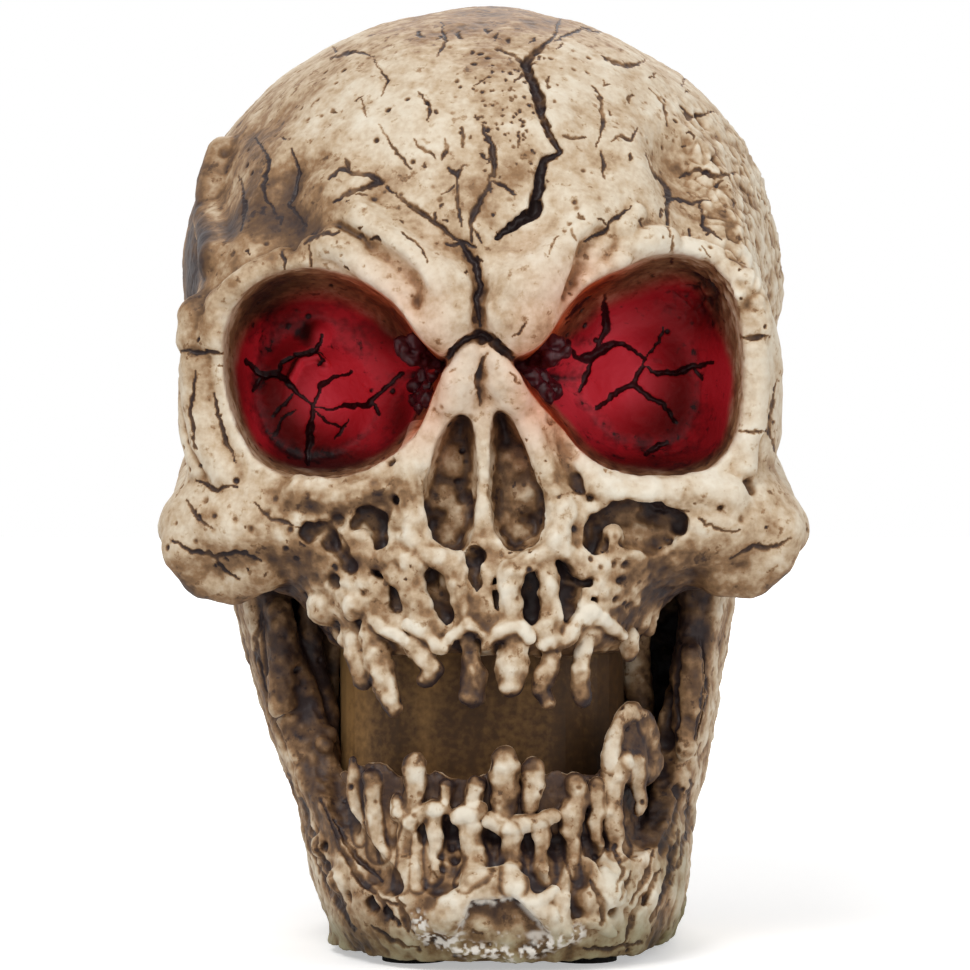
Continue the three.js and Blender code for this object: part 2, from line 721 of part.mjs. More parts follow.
// Side view of what is cut away behind the branches, and front view of the mouth opening.
const behind = new THREE.Shape();
behind.moveTo(-RAMUS_BACK, jawTopZ + 10);
behind.quadraticCurveTo(-RAMUS_BACK - 7, jawTopZ * 0.6, -RAMUS_BACK + 8, floorZ + JAW_FLOOR + 6);
behind.lineTo(-RAMUS_BACK + 16, floorZ + JAW_FLOOR);
behind.lineTo(JAW_BACK + 20, floorZ + JAW_FLOOR);
behind.lineTo(JAW_BACK + 20, jawTopZ + 10);

// A side view run across the whole width.
function across(shape) {
  const options = { depth: 2 * CHEEK_WIDTH, bevelEnabled: false, curveSegments: 8 };
  const geometry = new THREE.ExtrudeGeometry(shape, options);
  geometry.translate(0, 0, -CHEEK_WIDTH);
  geometry.rotateX(Math.PI / 2);
  return geometry.rotateZ(Math.PI / 2);
}

const mouthLow = JAW_CHIN_HALF_WIDTH - JAW_WALL;
const mouthHigh = JAW_HALF_WIDTH - JAW_WALL;
const mouth = new THREE.Shape();
mouth.moveTo(-mouthLow + 8 + JAW_LEAN, JAW_RIM);
mouth.lineTo(mouthLow - 8 + JAW_LEAN, JAW_RIM);
mouth.quadraticCurveTo(mouthLow + JAW_LEAN * 0.7, JAW_RIM, mouthLow + JAW_LEAN * 0.7 + 1, JAW_RIM + 10);
mouth.lineTo(mouthHigh, jawTopZ + 10);
mouth.lineTo(-mouthHigh, jawTopZ + 10);
mouth.lineTo(-mouthLow + JAW_LEAN * 0.7 - 1, JAW_RIM + 10);
mouth.quadraticCurveTo(-mouthLow + JAW_LEAN * 0.7, JAW_RIM, -mouthLow + 8 + JAW_LEAN, JAW_RIM);
const mouthReach = { depth: 2 * JAW_FRONT, bevelEnabled: false, curveSegments: 6 };
const mouthCut = new THREE.ExtrudeGeometry(mouth, mouthReach);
mouthCut.rotateX(Math.PI / 2);

// Side view of what is cut away in front of the branches.
const ahead = new THREE.Shape();
ahead.moveTo(-JAW_FRONT - 10, JAW_RIM + 5);
ahead.lineTo(-JAW_FRONT + 22, JAW_RIM + 7);
ahead.quadraticCurveTo(-RAMUS_FRONT - 3, JAW_RIM + 10, -RAMUS_FRONT - 2, JAW_RIM + 26);
ahead.lineTo(-RAMUS_FRONT, jawTopZ + 10);
ahead.lineTo(-JAW_FRONT - 10, jawTopZ + 10);

const lowerTeeth = teeth(
  LOWER_TOOTH_COUNT,
  JAW_CHIN_HALF_WIDTH - 7,
  -JAW_FRONT + 6,
  -FACE_BACK,
  JAW_RIM - 5,
  JAW_RIM + LOWER_TOOTH_LENGTH - TOOTH_RADIUS * 0.5,
  jawShift(JAW_RIM),
  1.5,
);

// Chip broken out of the chin.
const chip = new THREE.Shape();
chip.moveTo(-CHIP_WIDTH / 2, 0);
chip.lineTo(CHIP_WIDTH / 2, 0);
chip.lineTo(CHIP_WIDTH * 0.24, CHIP_HEIGHT);
chip.lineTo(-CHIP_WIDTH * 0.24, CHIP_HEIGHT);
const chipCut = new THREE.ExtrudeGeometry(chip, { depth: JAW_FRONT / 2, bevelEnabled: false });
chipCut.rotateX(Math.PI / 2);
chipCut.translate(jawShift(floorZ), -JAW_FRONT + CHIP_DEPTH, floorZ + 2.5);

// Webs close the gaps between the branches and the column from behind, and a gum wall carries the lower teeth.
const web = new THREE.Shape();
web.moveTo(-RAMUS_BACK - 7, jawTopZ);
web.lineTo(-RAMUS_BACK - 7, jawTopZ * 0.68);
web.lineTo(-RAMUS_FRONT + 20, JAW_RIM + 12);
web.lineTo(-RAMUS_FRONT + 6, JAW_RIM);
web.lineTo(-RAMUS_FRONT + 6, floorZ + JAW_FLOOR - 2);
web.lineTo(-RAMUS_BACK + 8, floorZ + JAW_FLOOR - 2);
web.lineTo(-RAMUS_BACK - 1, jawTopZ * 0.6);
web.lineTo(-RAMUS_BACK, jawTopZ);
const webs = solid(across(web)).intersect(solid(jawOuter));
const gumWallLevels = [floorZ + JAW_FLOOR - 3, JAW_RIM + 8, JAW_RIM + 11.5];
const gumWall = loft(gumWallLevels.map((z, i) => levelRing(
  z,
  JAW_CHIN_HALF_WIDTH - 7.5 - (i === 2 ? 1.5 : 0),
  -JAW_FRONT + 7.5 + (i === 2 ? 2.5 : 0),
  -FACE_BACK,
  FACE_POWER,
  24,
  jawShift(z) / 2,
)));

const jawShell = cut(solid(jawOuter), [jawInner, across(behind), mouthCut, across(ahead)]);
const jawWalls = jawShell.add(webs).add(solid(gumWall));
const jawBlank = lowerTeeth.map(solid).reduce((sum, body) => sum.add(body), jawWalls);
const jaw = cut(jawBlank, [
  upright(columnOutline(SEAT_GAP), floorZ - 1, jawTopZ + 5),
  chipCut,
  ...sides.flatMap((side) => [cheek(side, SEAT_GAP), arch(side, SEAT_GAP)]),
]);
place('jaw', jaw, BONE, 0.62);

// Felt pads under the castings.
const padPoints = [
  ...sides.map((side) => v(PAD_FRONT_SHIFT + side * PAD_FRONT_X, PAD_FRONT_Y, 0)),
  ...sides.map((side) => v(side * PAD_BACK_X, PAD_BACK_Y, 0)),
];
padPoints.forEach((p, i) => {
  const pad = bar(p, v(p.x, p.y, PAD_THICKNESS), PAD_DIAMETER / 2, 24);
  place(`felt_pad_${i + 1}`, pad, FELT_BLACK, 0.95);
});

// Base cover: a plate in the step of the column with a battery well standing on it.
const coverPlate = upright(columnOutline(COVER_LEDGE - COLUMN_WALL - SEAT_GAP), coverZ, coverTopZ);
const wellOuter = box(
  -wellHalfWidth - WELL_WALL,
  wellHalfWidth + WELL_WALL,
  -wellHalfLength - WELL_WALL,
  wellHalfLength + WELL_WALL,
  coverZ,
  wellTopZ + WELL_ROOF,
);
const wellInner = box(
  -wellHalfWidth,
  wellHalfWidth,
  -wellHalfLength,
  wellHalfLength,
  coverZ - 1,
  wellTopZ,
);
const doorHole = box(
  -wellHalfWidth - DOOR_LEDGE,
  wellHalfWidth + DOOR_LEDGE,
  -wellHalfLength - DOOR_LEDGE,
  wellHalfLength + DOOR_LEDGE,
  coverZ - 1,
  doorTopZ + SEAT_GAP,
);
const contactY = wellHalfLength - SEAT_GAP - CONTACT_THICKNESS / 2;
const tailSlots = sides.map((side) => box(
  (side * CELL_PITCH) / 2 - TAIL_WIDTH / 2 - SEAT_GAP,
  (side * CELL_PITCH) / 2 + TAIL_WIDTH / 2 + SEAT_GAP,
  -wellHalfLength,
  -contactY + CONTACT_THICKNESS / 2 + SEAT_GAP,
  wellTopZ - 1,
  wellTopZ + WELL_ROOF + 1,
));

// Hinge pins lie along X in the front edge of the door, half way up its thickness.
const doorHalfWidth = wellHalfWidth + DOOR_LEDGE - SEAT_GAP;
const doorFrontY = -wellHalfLength - DOOR_LEDGE + SEAT_GAP;
const doorBackY = wellHalfLength + DOOR_LEDGE - SEAT_GAP;
const hingeY = doorFrontY + DOOR_THICKNESS / 2;
const hingeZ = coverZ + DOOR_THICKNESS / 2;
const pinReach = doorHalfWidth + DOOR_PIN_LENGTH;
const pinHole = bar(
  v(-pinReach - SEAT_GAP, hingeY, hingeZ),
  v(pinReach + SEAT_GAP, hingeY, hingeZ),
  DOOR_PIN_RADIUS + SEAT_GAP,
  12,
);
const countersinks = bossPoints.map((p) => turned(
  [
    [0, -1],
    [SCREW_HEAD_RADIUS + SEAT_GAP, -1],
    [SCREW_HEAD_RADIUS + SEAT_GAP, 0.2],
    [SCREW_RADIUS + SEAT_GAP, SCREW_HEAD_HEIGHT + 0.5],
    [0, SCREW_HEAD_HEIGHT + 0.5],
  ],
  v(p.x, p.y, coverZ),
  v(0, 0, 1),
  10,
));
const slotHalf = (SLIDER_WIDTH + SLIDER_TRAVEL) / 2 + SEAT_GAP;
const sliderSlot = box(
  -slotHalf,
  slotHalf,
  SWITCH_Y - SLIDER_DEPTH / 2 - SEAT_GAP,
  SWITCH_Y + SLIDER_DEPTH / 2 + SEAT_GAP,
  coverZ - 1,
  coverTopZ + 1,
);
const switchScrewPoints = sides.map((side) => v(side * SWITCH_EAR_SPAN, SWITCH_Y, coverZ));
const switchScrewHoles = switchScrewPoints.map((p) => turned(
  [
    [0, -1],
    [SWITCH_SCREW_HEAD + SEAT_GAP, -1],
    [SWITCH_SCREW_HEAD + SEAT_GAP, 0.2],
    [SWITCH_SCREW_RADIUS + SEAT_GAP, 1.4],
    [SWITCH_SCREW_RADIUS + SEAT_GAP, SWITCH_SCREW_LENGTH + 1],
    [0, SWITCH_SCREW_LENGTH + 1],
  ],
  p,
  v(0, 0, 1),
  10,
));
const cover = cut(join([coverPlate, wellOuter]), [
  wellInner,
  doorHole,
  ...tailSlots,
  pinHole,
  ...screwHoles,
  ...countersinks,
  sliderSlot,
  ...switchScrewHoles,
]);
place('base_cover', cover, COVER_BLACK, 0.55);

bossPoints.forEach((p, i) => {
  const screw = turned(
    [
      [0, 0.2],
      [SCREW_HEAD_RADIUS, 0.2],
      [SCREW_RADIUS, SCREW_HEAD_HEIGHT + 0.2],
      [SCREW_RADIUS, SCREW_LENGTH - 1],
      [0, SCREW_LENGTH + 0.5],
    ],
    v(p.x, p.y, coverZ),
    v(0, 0, 1),
    14,
  );
  const slot = box(p.x - 0.4, p.x + 0.4, p.y - 2, p.y + 2, coverZ - 1, coverZ + 0.9);
  place(`base_screw_${i + 1}`, cut(solid(screw), [slot]), STEEL, 0.35, 1);
});

// Battery door: a plate with a rounded hinge edge, two pins and a thumb notch.
const doorPlate = box(-doorHalfWidth, doorHalfWidth, hingeY, doorBackY, coverZ, doorTopZ);
const hingeFrom = v(-doorHalfWidth, hingeY, hingeZ);
const hingeTo = v(doorHalfWidth, hingeY, hingeZ);
const hingeEdge = bar(hingeFrom, hingeTo, DOOR_THICKNESS / 2, 24);
const pins = bar(v(-pinReach, hingeY, hingeZ), v(pinReach, hingeY, hingeZ), DOOR_PIN_RADIUS, 12);
const grip = bar(
  v(0, doorBackY + DOOR_GRIP_RADIUS * 0.3, coverZ - 1),
  v(0, doorBackY + DOOR_GRIP_RADIUS * 0.3, doorTopZ - 1),
  DOOR_GRIP_RADIUS,
  28,
);
place('battery_door', cut(join([doorPlate, hingeEdge, pins]), [grip]), COVER_BLACK, 0.55);

// Two cells lie side by side the opposite way round.
sides.forEach((side, i) => {
  const r = CELL_DIAMETER / 2;
  const body = CELL_LENGTH - NUB_LENGTH;
  const cell = turned(
    [
      [0, 0],
      [r - 0.6, 0],
      [r, 0.6],
      [r, body - 0.6],
      [r - 0.6, body],
      [NUB_DIAMETER / 2, body],
      [NUB_DIAMETER / 2, CELL_LENGTH],
      [0, CELL_LENGTH],
    ],
    v((side * CELL_PITCH) / 2, -side * (CELL_LENGTH - contactY + CONTACT_THICKNESS / 2 + SEAT_GAP), cellZ),
    v(0, side, 0),
    20,
  );
  place(`battery_cell_${i + 1}`, cell, CELL_GREEN, 0.4);
});

// Sprung and plain contact plates at the ends of the well.
const plateLow = cellZ - CELL_DIAMETER / 2 + 0.4;
const plateHigh = cellZ + CELL_DIAMETER / 2;
const tailTopZ = wellTopZ + WELL_ROOF + TAIL_RISE;
sides.forEach((side) => {
  const x = (side * CELL_PITCH) / 2;
  const y0 = -contactY - CONTACT_THICKNESS / 2;
  const y1 = -contactY + CONTACT_THICKNESS / 2;
  const plate = box(x - CONTACT_WIDTH / 2, x + CONTACT_WIDTH / 2, y0, y1, plateLow, plateHigh);
  const tail = box(x - TAIL_WIDTH / 2, x + TAIL_WIDTH / 2, y0, y1, plateHigh - 1, tailTopZ);
  place(side < 0 ? 'contact_positive' : 'contact_negative', join([plate, tail]), BRASS, 0.35, 1);
});
const bridge = box(
  -CELL_PITCH / 2 - CONTACT_WIDTH / 2,
  CELL_PITCH / 2 + CONTACT_WIDTH / 2,
  contactY - CONTACT_THICKNESS / 2,
  contactY + CONTACT_THICKNESS / 2,
  plateLow,
  plateHigh,
);
place('contact_bridge', bridge, BRASS, 0.35, 1);

// Each spring is one cone of wire, wide at its plate and narrow at the cell.
class ConeCoil extends THREE.Curve {
  constructor(base, side) {
    super();
    this.base = base;
    this.side = side;
  }

  getPoint(t) {
    const angle = 2 * Math.PI * SPRING_TURNS * t;
    const radius = SPRING_BASE_RADIUS + (SPRING_TIP_RADIUS - SPRING_BASE_RADIUS) * t;
    const reach = SPRING_WIRE / 2 + (SPRING_LENGTH - SPRING_WIRE) * t;
    const offset = v(radius * Math.cos(angle), this.side * reach, radius * Math.sin(angle));
    return offset.add(this.base);
  }
}

// Least gap between one turn of a coil and the next.
function coilGap(coil) {
  const count = 240;
  const points = coil.getPoints(count);
  const turn = Math.round(count / SPRING_TURNS / 2);
  let least = Infinity;
  points.forEach((p, i) => points.slice(i + turn).forEach((q) => {
    least = Math.min(least, p.distanceTo(q));
  }));
  return least - SPRING_WIRE;
}

sides.forEach((side, i) => {
  const plateFace = contactY - CONTACT_THICKNESS / 2 - SEAT_GAP;
  const coil = new ConeCoil(v((side * CELL_PITCH) / 2, -side * plateFace, cellZ), side);
  const section = new THREE.Shape();
  section.absarc(0, 0, SPRING_WIRE / 2, 0, 2 * Math.PI, false);
  const options = { steps: 36, extrudePath: coil, bevelEnabled: false, curveSegments: 3 };
  place(`contact_spring_${i + 1}`, new THREE.ExtrudeGeometry(section, options), STEEL, 0.3, 1);
  console.log(`contact_spring_${i + 1} least gap between turns ${coilGap(coil).toFixed(2)} mm`);
});

// Slide switch behind the chin, its ears screwed to the cover.
const switchZ = coverTopZ + SEAT_GAP;
const switchTopZ = switchZ + SWITCH_HEIGHT;
const earReach = SWITCH_EAR_SPAN + SWITCH_SCREW_RADIUS + 1.8;
const switchFront = SWITCH_Y - SWITCH_DEPTH / 2;
const switchBack = SWITCH_Y + SWITCH_DEPTH / 2;
const switchBody = join([
  box(-SWITCH_WIDTH / 2, SWITCH_WIDTH / 2, switchFront, switchBack, switchZ, switchTopZ),
  box(-earReach, earReach, switchFront, switchBack, switchZ, switchZ + SWITCH_EAR),
]);
const pocketHalfDepth = SLIDER_DEPTH / 2 + SLIDER_SHOULDER + SEAT_GAP;
const terminals = sides.map((side) => (side * TERMINAL_PITCH) / 2);
const terminalSeats = terminals.map((x) => box(
  x - TERMINAL_WIDTH / 2 - SEAT_GAP,
  x + TERMINAL_WIDTH / 2 + SEAT_GAP,
  SWITCH_Y - TERMINAL_THICKNESS / 2 - SEAT_GAP,
  SWITCH_Y + TERMINAL_THICKNESS / 2 + SEAT_GAP,
  switchTopZ - TERMINAL_SEAT - SEAT_GAP,
  switchTopZ + 1,
));
const switchHousing = cut(switchBody, [
  box(
    -slotHalf,
    slotHalf,
    SWITCH_Y - pocketHalfDepth,
    SWITCH_Y + pocketHalfDepth,
    switchZ - 1,
    switchZ + SLIDER_HEAD + SEAT_GAP,
  ),
  ...terminalSeats,
  ...switchScrewHoles,
]);
place('switch_housing', switchHousing, COVER_BLACK, 0.45);

// The slider rests in its on position, at the +X end of the slot.
const sliderX = SLIDER_TRAVEL / 2;
const slider = join([
  box(
    sliderX - SLIDER_WIDTH / 2,
    sliderX + SLIDER_WIDTH / 2,
    SWITCH_Y - SLIDER_DEPTH / 2,
    SWITCH_Y + SLIDER_DEPTH / 2,
    coverZ - SLIDER_KNOB,
    switchZ + SLIDER_HEAD,
  ),
  box(
    sliderX - SLIDER_WIDTH / 2,
    sliderX + SLIDER_WIDTH / 2,
    SWITCH_Y - SLIDER_DEPTH / 2 - SLIDER_SHOULDER,
    SWITCH_Y + SLIDER_DEPTH / 2 + SLIDER_SHOULDER,
    switchZ,
    switchZ + SLIDER_HEAD,
  ),
]);
place('switch_slider', slider, SLIDER_WHITE, 0.5);
const terminalTopZ = switchTopZ + TERMINAL_RISE;
terminals.forEach((x, i) => {
  const pin = box(
    x - TERMINAL_WIDTH / 2,
    x + TERMINAL_WIDTH / 2,
    SWITCH_Y - TERMINAL_THICKNESS / 2,
    SWITCH_Y + TERMINAL_THICKNESS / 2,
    switchTopZ - TERMINAL_SEAT,
    terminalTopZ,
  );
  place(`switch_terminal_${i + 1}`, pin, BRASS, 0.35, 1);
});
switchScrewPoints.forEach((p, i) => {
  const screw = turned(
    [
      [0, 0.2],
      [SWITCH_SCREW_HEAD, 0.2],
      [SWITCH_SCREW_RADIUS, 1.4],
      [SWITCH_SCREW_RADIUS, SWITCH_SCREW_LENGTH - 0.6],
      [0, SWITCH_SCREW_LENGTH],
    ],
    p,
    v(0, 0, 1),
    12,
  );
  place(`switch_screw_${i + 1}`, screw, STEEL, 0.35, 1);
});

// Lamps, their glue rings and the two leads of each.
const ledBack = LED_REACH - LED_LENGTH;
const leadTop = ledBack - SEAT_GAP;
const leadEnd = leadTop - LEAD_LENGTH;

function leadOffset(side, lead) {
  const up = v(0, 0, 1).addScaledVector(ledAxis(side), -ledAxis(side).z).normalize();
  return up.multiplyScalar((lead * LEAD_PITCH) / 2);
}

sides.forEach((side) => {
  const label = side < 0 ? 'left' : 'right';
  const dome = Array.from({ length: 4 }, (_, i) => {
    const angle = (i * Math.PI) / 8;
    return [LED_RADIUS * Math.cos(angle), LED_LENGTH - LED_RADIUS + LED_RADIUS * Math.sin(angle)];
  });
  const lens = [
    [0, 0],
    [LED_FLANGE_RADIUS, 0],
    [LED_FLANGE_RADIUS, LED_FLANGE_HEIGHT],
    [LED_RADIUS, LED_FLANGE_HEIGHT],
    ...dome,
    [0, LED_LENGTH],
  ];
  place(`led_${label}`, turned(lens, ledPoint(side, ledBack), ledAxis(side), 14), LAMP_RED, 0.15);
  const ring = [
    [LED_RADIUS + SEAT_GAP, 0],
    [GLUE_RADIUS, 0],
    [GLUE_RADIUS, GLUE_LENGTH * 0.6],
    [GLUE_RADIUS - 0.6, GLUE_LENGTH],
    [LED_RADIUS + SEAT_GAP, GLUE_LENGTH],
    [LED_RADIUS + SEAT_GAP, 0],
  ];
  place(`led_${label}_glue`, turned(ring, ledPoint(side, glueStart), ledAxis(side), 14), GLUE_BROWN, 0.3);
  [['anode', 1], ['cathode', -1]].forEach(([pole, lead]) => {
    const from = ledPoint(side, leadEnd).add(leadOffset(side, lead));
    const to = ledPoint(side, leadTop).add(leadOffset(side, lead));
    place(`led_${label}_${pole}`, bar(from, to, LEAD_RADIUS, 8), STEEL, 0.3, 1);
  });
});

// Wires rise from the switch and the battery through the column, the hollow and the channel.
const neckZ = skullBaseZ + SEAT_DEPTH;
const wireSpread = WIRE_RADIUS + 0.2;
const feed = [
  v(-CELL_PITCH / 2, -contactY, tailTopZ + SEAT_GAP),
  v(-CELL_PITCH / 2, -contactY - 2, tailTopZ + 4),
  v(-TERMINAL_PITCH / 2 - 1.5, SWITCH_Y + 6, tailTopZ + 4),
  v(-TERMINAL_PITCH / 2, SWITCH_Y, terminalTopZ + 5),
  v(-TERMINAL_PITCH / 2, SWITCH_Y, terminalTopZ + SEAT_GAP),
];
place('wire_switch_feed', wire(feed, WIRE_RADIUS, WIRE_STEPS), WIRE_RED, 0.5);

function lampWire(side, lead, start, lane) {
  const riseMid = (tailTopZ + neckZ) / 2;
  const up = leadOffset(side, lead);
  return [
    start,
    start.clone().add(v(0, 0, 5)),
    v(lane, start.y + 4, riseMid),
    v(lane * 0.9, -NECK_FRONT + 10, neckZ),
    v(lane * 0.7, -HOLLOW_FRONT + 6, ledZ - 16),
    v(side * 2.2, -HOLLOW_FRONT - 1, ledZ + up.z),
    v(side * 1.9, LED_ROOT_Y + 5, ledZ + up.z),
    ledPoint(side, leadEnd - 3).add(up),
    ledPoint(side, leadEnd - SEAT_GAP).add(up),
  ];
}

sides.forEach((side) => {
  const label = side < 0 ? 'left' : 'right';
  const redStart = v(TERMINAL_PITCH / 2 + side * wireSpread, SWITCH_Y, terminalTopZ + SEAT_GAP);
  const blackStart = v(CELL_PITCH / 2 + side * wireSpread, -contactY, tailTopZ + SEAT_GAP);
  const red = lampWire(side, 1, redStart, side * RED_WIRE_LANE);
  const black = lampWire(side, -1, blackStart, side * BLACK_WIRE_LANE);
  place(`wire_${label}_red`, wire(red, WIRE_RADIUS, 2 * WIRE_STEPS), WIRE_RED, 0.5);
  place(`wire_${label}_black`, wire(black, WIRE_RADIUS, 2 * WIRE_STEPS), WIRE_BLACK, 0.5);
});

// Centre the whole over the middle of its footprint.
const bounds = new THREE.Box3().setFromObject(skull);
const middle = bounds.getCenter(new THREE.Vector3());
skull.position.set(-middle.x, -middle.y, 0);
const size = bounds.getSize(new THREE.Vector3()).toArray();
console.log(`size ${size.map((n) => n.toFixed(2)).join(' x ')} mm`);
console.log(`moved by ${(-middle.x).toFixed(3)} ${(-middle.y).toFixed(3)} mm`);

export default skull;
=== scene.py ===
"""Light-up skull in cast resin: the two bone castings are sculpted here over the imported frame.

Shapes are worked out in millimetres in the casting frame, where the braincase axis is x = 0, y = 0
and the face looks along -y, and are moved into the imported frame, in metres, at the end. Features of
the face are set out by picture points u,v: u runs right and v runs down, 970 to the picture's side.
"""
import json

import bpy
import numpy as np
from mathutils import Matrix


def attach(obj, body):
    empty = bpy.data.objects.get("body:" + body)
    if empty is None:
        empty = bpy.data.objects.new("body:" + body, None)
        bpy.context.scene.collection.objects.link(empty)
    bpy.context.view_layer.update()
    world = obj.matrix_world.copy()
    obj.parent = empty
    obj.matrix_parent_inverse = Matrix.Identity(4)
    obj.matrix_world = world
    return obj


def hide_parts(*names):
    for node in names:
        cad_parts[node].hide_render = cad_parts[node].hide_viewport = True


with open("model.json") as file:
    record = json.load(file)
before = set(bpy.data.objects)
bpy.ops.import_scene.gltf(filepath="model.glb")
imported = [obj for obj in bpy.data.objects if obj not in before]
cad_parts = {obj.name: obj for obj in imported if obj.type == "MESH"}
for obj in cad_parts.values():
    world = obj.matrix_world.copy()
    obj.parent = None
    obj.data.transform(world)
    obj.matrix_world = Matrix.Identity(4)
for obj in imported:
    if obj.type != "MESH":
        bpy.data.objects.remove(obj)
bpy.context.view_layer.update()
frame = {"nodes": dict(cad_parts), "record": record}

# The whole part is centred over its footprint, which moves the braincase axis back by this much.
FOOT_SHIFT = 3.079

# The eye that the features are set out from, and the picture's focal length in picture units.
PICTURE = 970
EYE = (0.6, -820.0, 95.0)
FOCAL = 3807.0

GRID = 0.6


def seen(u, v, y):
    """Where the line of sight through picture point (u, v) meets depth y, by similar triangles."""
    reach = (y - EYE[1]) / FOCAL
    return EYE[0] + (u - PICTURE / 2) * reach, EYE[2] - (v - PICTURE / 2) * reach


def drawn(line):
    """Picture points of a line: written out as u,v pairs with spaces between, or numbers already."""
    if isinstance(line, str):
        line = [spot.split(",") for spot in line.split()]
    return np.asarray(line, float)


# Noise

# Large odd numbers that stir the lattice's indices together.
STIR = [np.uint32(n) for n in (374761393, 668265263, 2246822519, 1274126177, 2654435761)]
STIR_SEED = 3266489917
NOISE_SHIFT = 1000.0


def lattice(i, j, k, seed):
    """A fixed pseudo-random number from 0 to 1 for each whole lattice point, by mixing its indices."""
    n = i.astype(np.uint32) * STIR[0] + j.astype(np.uint32) * STIR[1]
    n = n + k.astype(np.uint32) * STIR[2] + np.uint32((seed * STIR_SEED) % 2 ** 32)
    n = (n ^ (n >> np.uint32(13))) * STIR[3]
    n = (n ^ (n >> np.uint32(16))) * STIR[4]
    return ((n >> np.uint32(8)) & np.uint32(0xFFFF)).astype(np.float32) / 65535.0


def corner_share(f, a, b, c):
    """Share of one corner of a cell in a blend between its eight, from the place within the cell."""
    share = (f[:, 0] if a else 1 - f[:, 0]) * (f[:, 1] if b else 1 - f[:, 1])
    return share * (f[:, 2] if c else 1 - f[:, 2])


CORNERS = np.array([(a, b, c) for a in (0, 1) for b in (0, 1) for c in (0, 1)])


def lumps(points, size, seed):
    """Smooth lumps from -1 to 1: lattice numbers blended between the eight corners round each point."""
    p = points / size + NOISE_SHIFT
    base = np.floor(p).astype(np.int64)
    f = (p - base).astype(np.float32)
    f = f * f * (3 - 2 * f)
    total = np.zeros(len(points), np.float32)
    for a, b, c in CORNERS:
        total += corner_share(f, a, b, c) * lattice(base[:, 0] + a, base[:, 1] + b, base[:, 2] + c, seed)
    return 2 * total - 1


def cells(points, size, seed):
    """Distances, in cell sizes, to the nearest and second nearest of seeds scattered one to a cell."""
    p = points / size + NOISE_SHIFT
    base = np.floor(p).astype(np.int64)
    near = np.full(len(points), 9.0, np.float32)
    far = near.copy()
    for a, b, c in np.ndindex(3, 3, 3):
        i, j, k = base[:, 0] + a - 1, base[:, 1] + b - 1, base[:, 2] + c - 1
        dx = i + lattice(i, j, k, seed) - p[:, 0]
        dy = j + lattice(i, j, k, seed + 1) - p[:, 1]
        dz = k + lattice(i, j, k, seed + 2) - p[:, 2]
        d = np.sqrt(dx * dx + dy * dy + dz * dz).astype(np.float32)
        far = np.minimum(far, np.maximum(near, d))
        near = np.minimum(near, d)
    return near, far


def smooth(a, b, x):
    """0 below a, 1 above b, an even S-curve between."""
    t = np.clip((x - a) / (b - a), 0, 1)
    return t * t * (3 - 2 * t)


# Solids as signed distances


def soft_min(a, b, blend):
    """The lesser of two distances, rounded off where they are within a blend of each other."""
    h = np.clip(0.5 + 0.5 * (a - b) / blend, 0, 1)
    return a * (1 - h) + b * h - blend * h * (1 - h)


def ellipsoid(x, y, z, centre, radii):
    """Distance to an ellipsoid, near enough: scaled length less one, over its slope."""
    a, b, c = x - centre[0], y - centre[1], z - centre[2]
    scaled = np.sqrt((a / radii[0]) ** 2 + (b / radii[1]) ** 2 + (c / radii[2]) ** 2)
    slope = np.sqrt((a / radii[0] ** 2) ** 2 + (b / radii[1] ** 2) ** 2 + (c / radii[2] ** 2) ** 2)
    return scaled * (scaled - 1) / np.maximum(slope, 1e-6)


def rod_chain(x, y, z, points, radii):
    """Distance to a bent rod: the least, over its links, of the distance less the link's radius there."""
    best = None
    for p, q, r, s in zip(points[:-1], points[1:], radii[:-1], radii[1:]):
        axis = q - p
        t = (x - p[0]) * axis[0] + (y - p[1]) * axis[1] + (z - p[2]) * axis[2]
        t = np.clip(t / max(float(axis @ axis), 1e-6), 0, 1)
        d = (x - p[0] - t * axis[0]) ** 2 + (y - p[1] - t * axis[1]) ** 2 + (z - p[2] - t * axis[2]) ** 2
        d = np.sqrt(d) - (r + t * (s - r))
        best = d if best is None else np.minimum(best, d)
    return best


def outline_distance(x, z, corners):
    """Distance to a closed outline in a plane: nearest edge, signed by how often a ray crosses it."""
    best = np.full(np.broadcast(x, z).shape, 1e9, np.float32)
    inside = np.zeros(best.shape, bool)
    for p, q in zip(corners, np.roll(corners, -1, axis=0)):
        e = q - p
        t = np.clip(((x - p[0]) * e[0] + (z - p[1]) * e[1]) / max(float(e @ e), 1e-9), 0, 1)
        best = np.minimum(best, (x - p[0] - t * e[0]) ** 2 + (z - p[1] - t * e[1]) ** 2)
        over = (p[1] > z) != (q[1] > z)
        rise = e[1] if abs(e[1]) > 1e-9 else 1e-9
        inside ^= over & (x < p[0] + e[0] * (z - p[1]) / rise)
    return np.where(inside, -np.sqrt(best), np.sqrt(best)).astype(np.float32)


def rounded(corners):
    """An outline with its corners cut twice: each edge gives points a quarter and three quarters along."""
    points = np.asarray(corners, float)
    for _ in range(2):
        ahead = np.roll(points, -1, axis=0)
        points = np.stack([0.75 * points + 0.25 * ahead, 0.25 * points + 0.75 * ahead], 1).reshape(-1, 2)
    return points


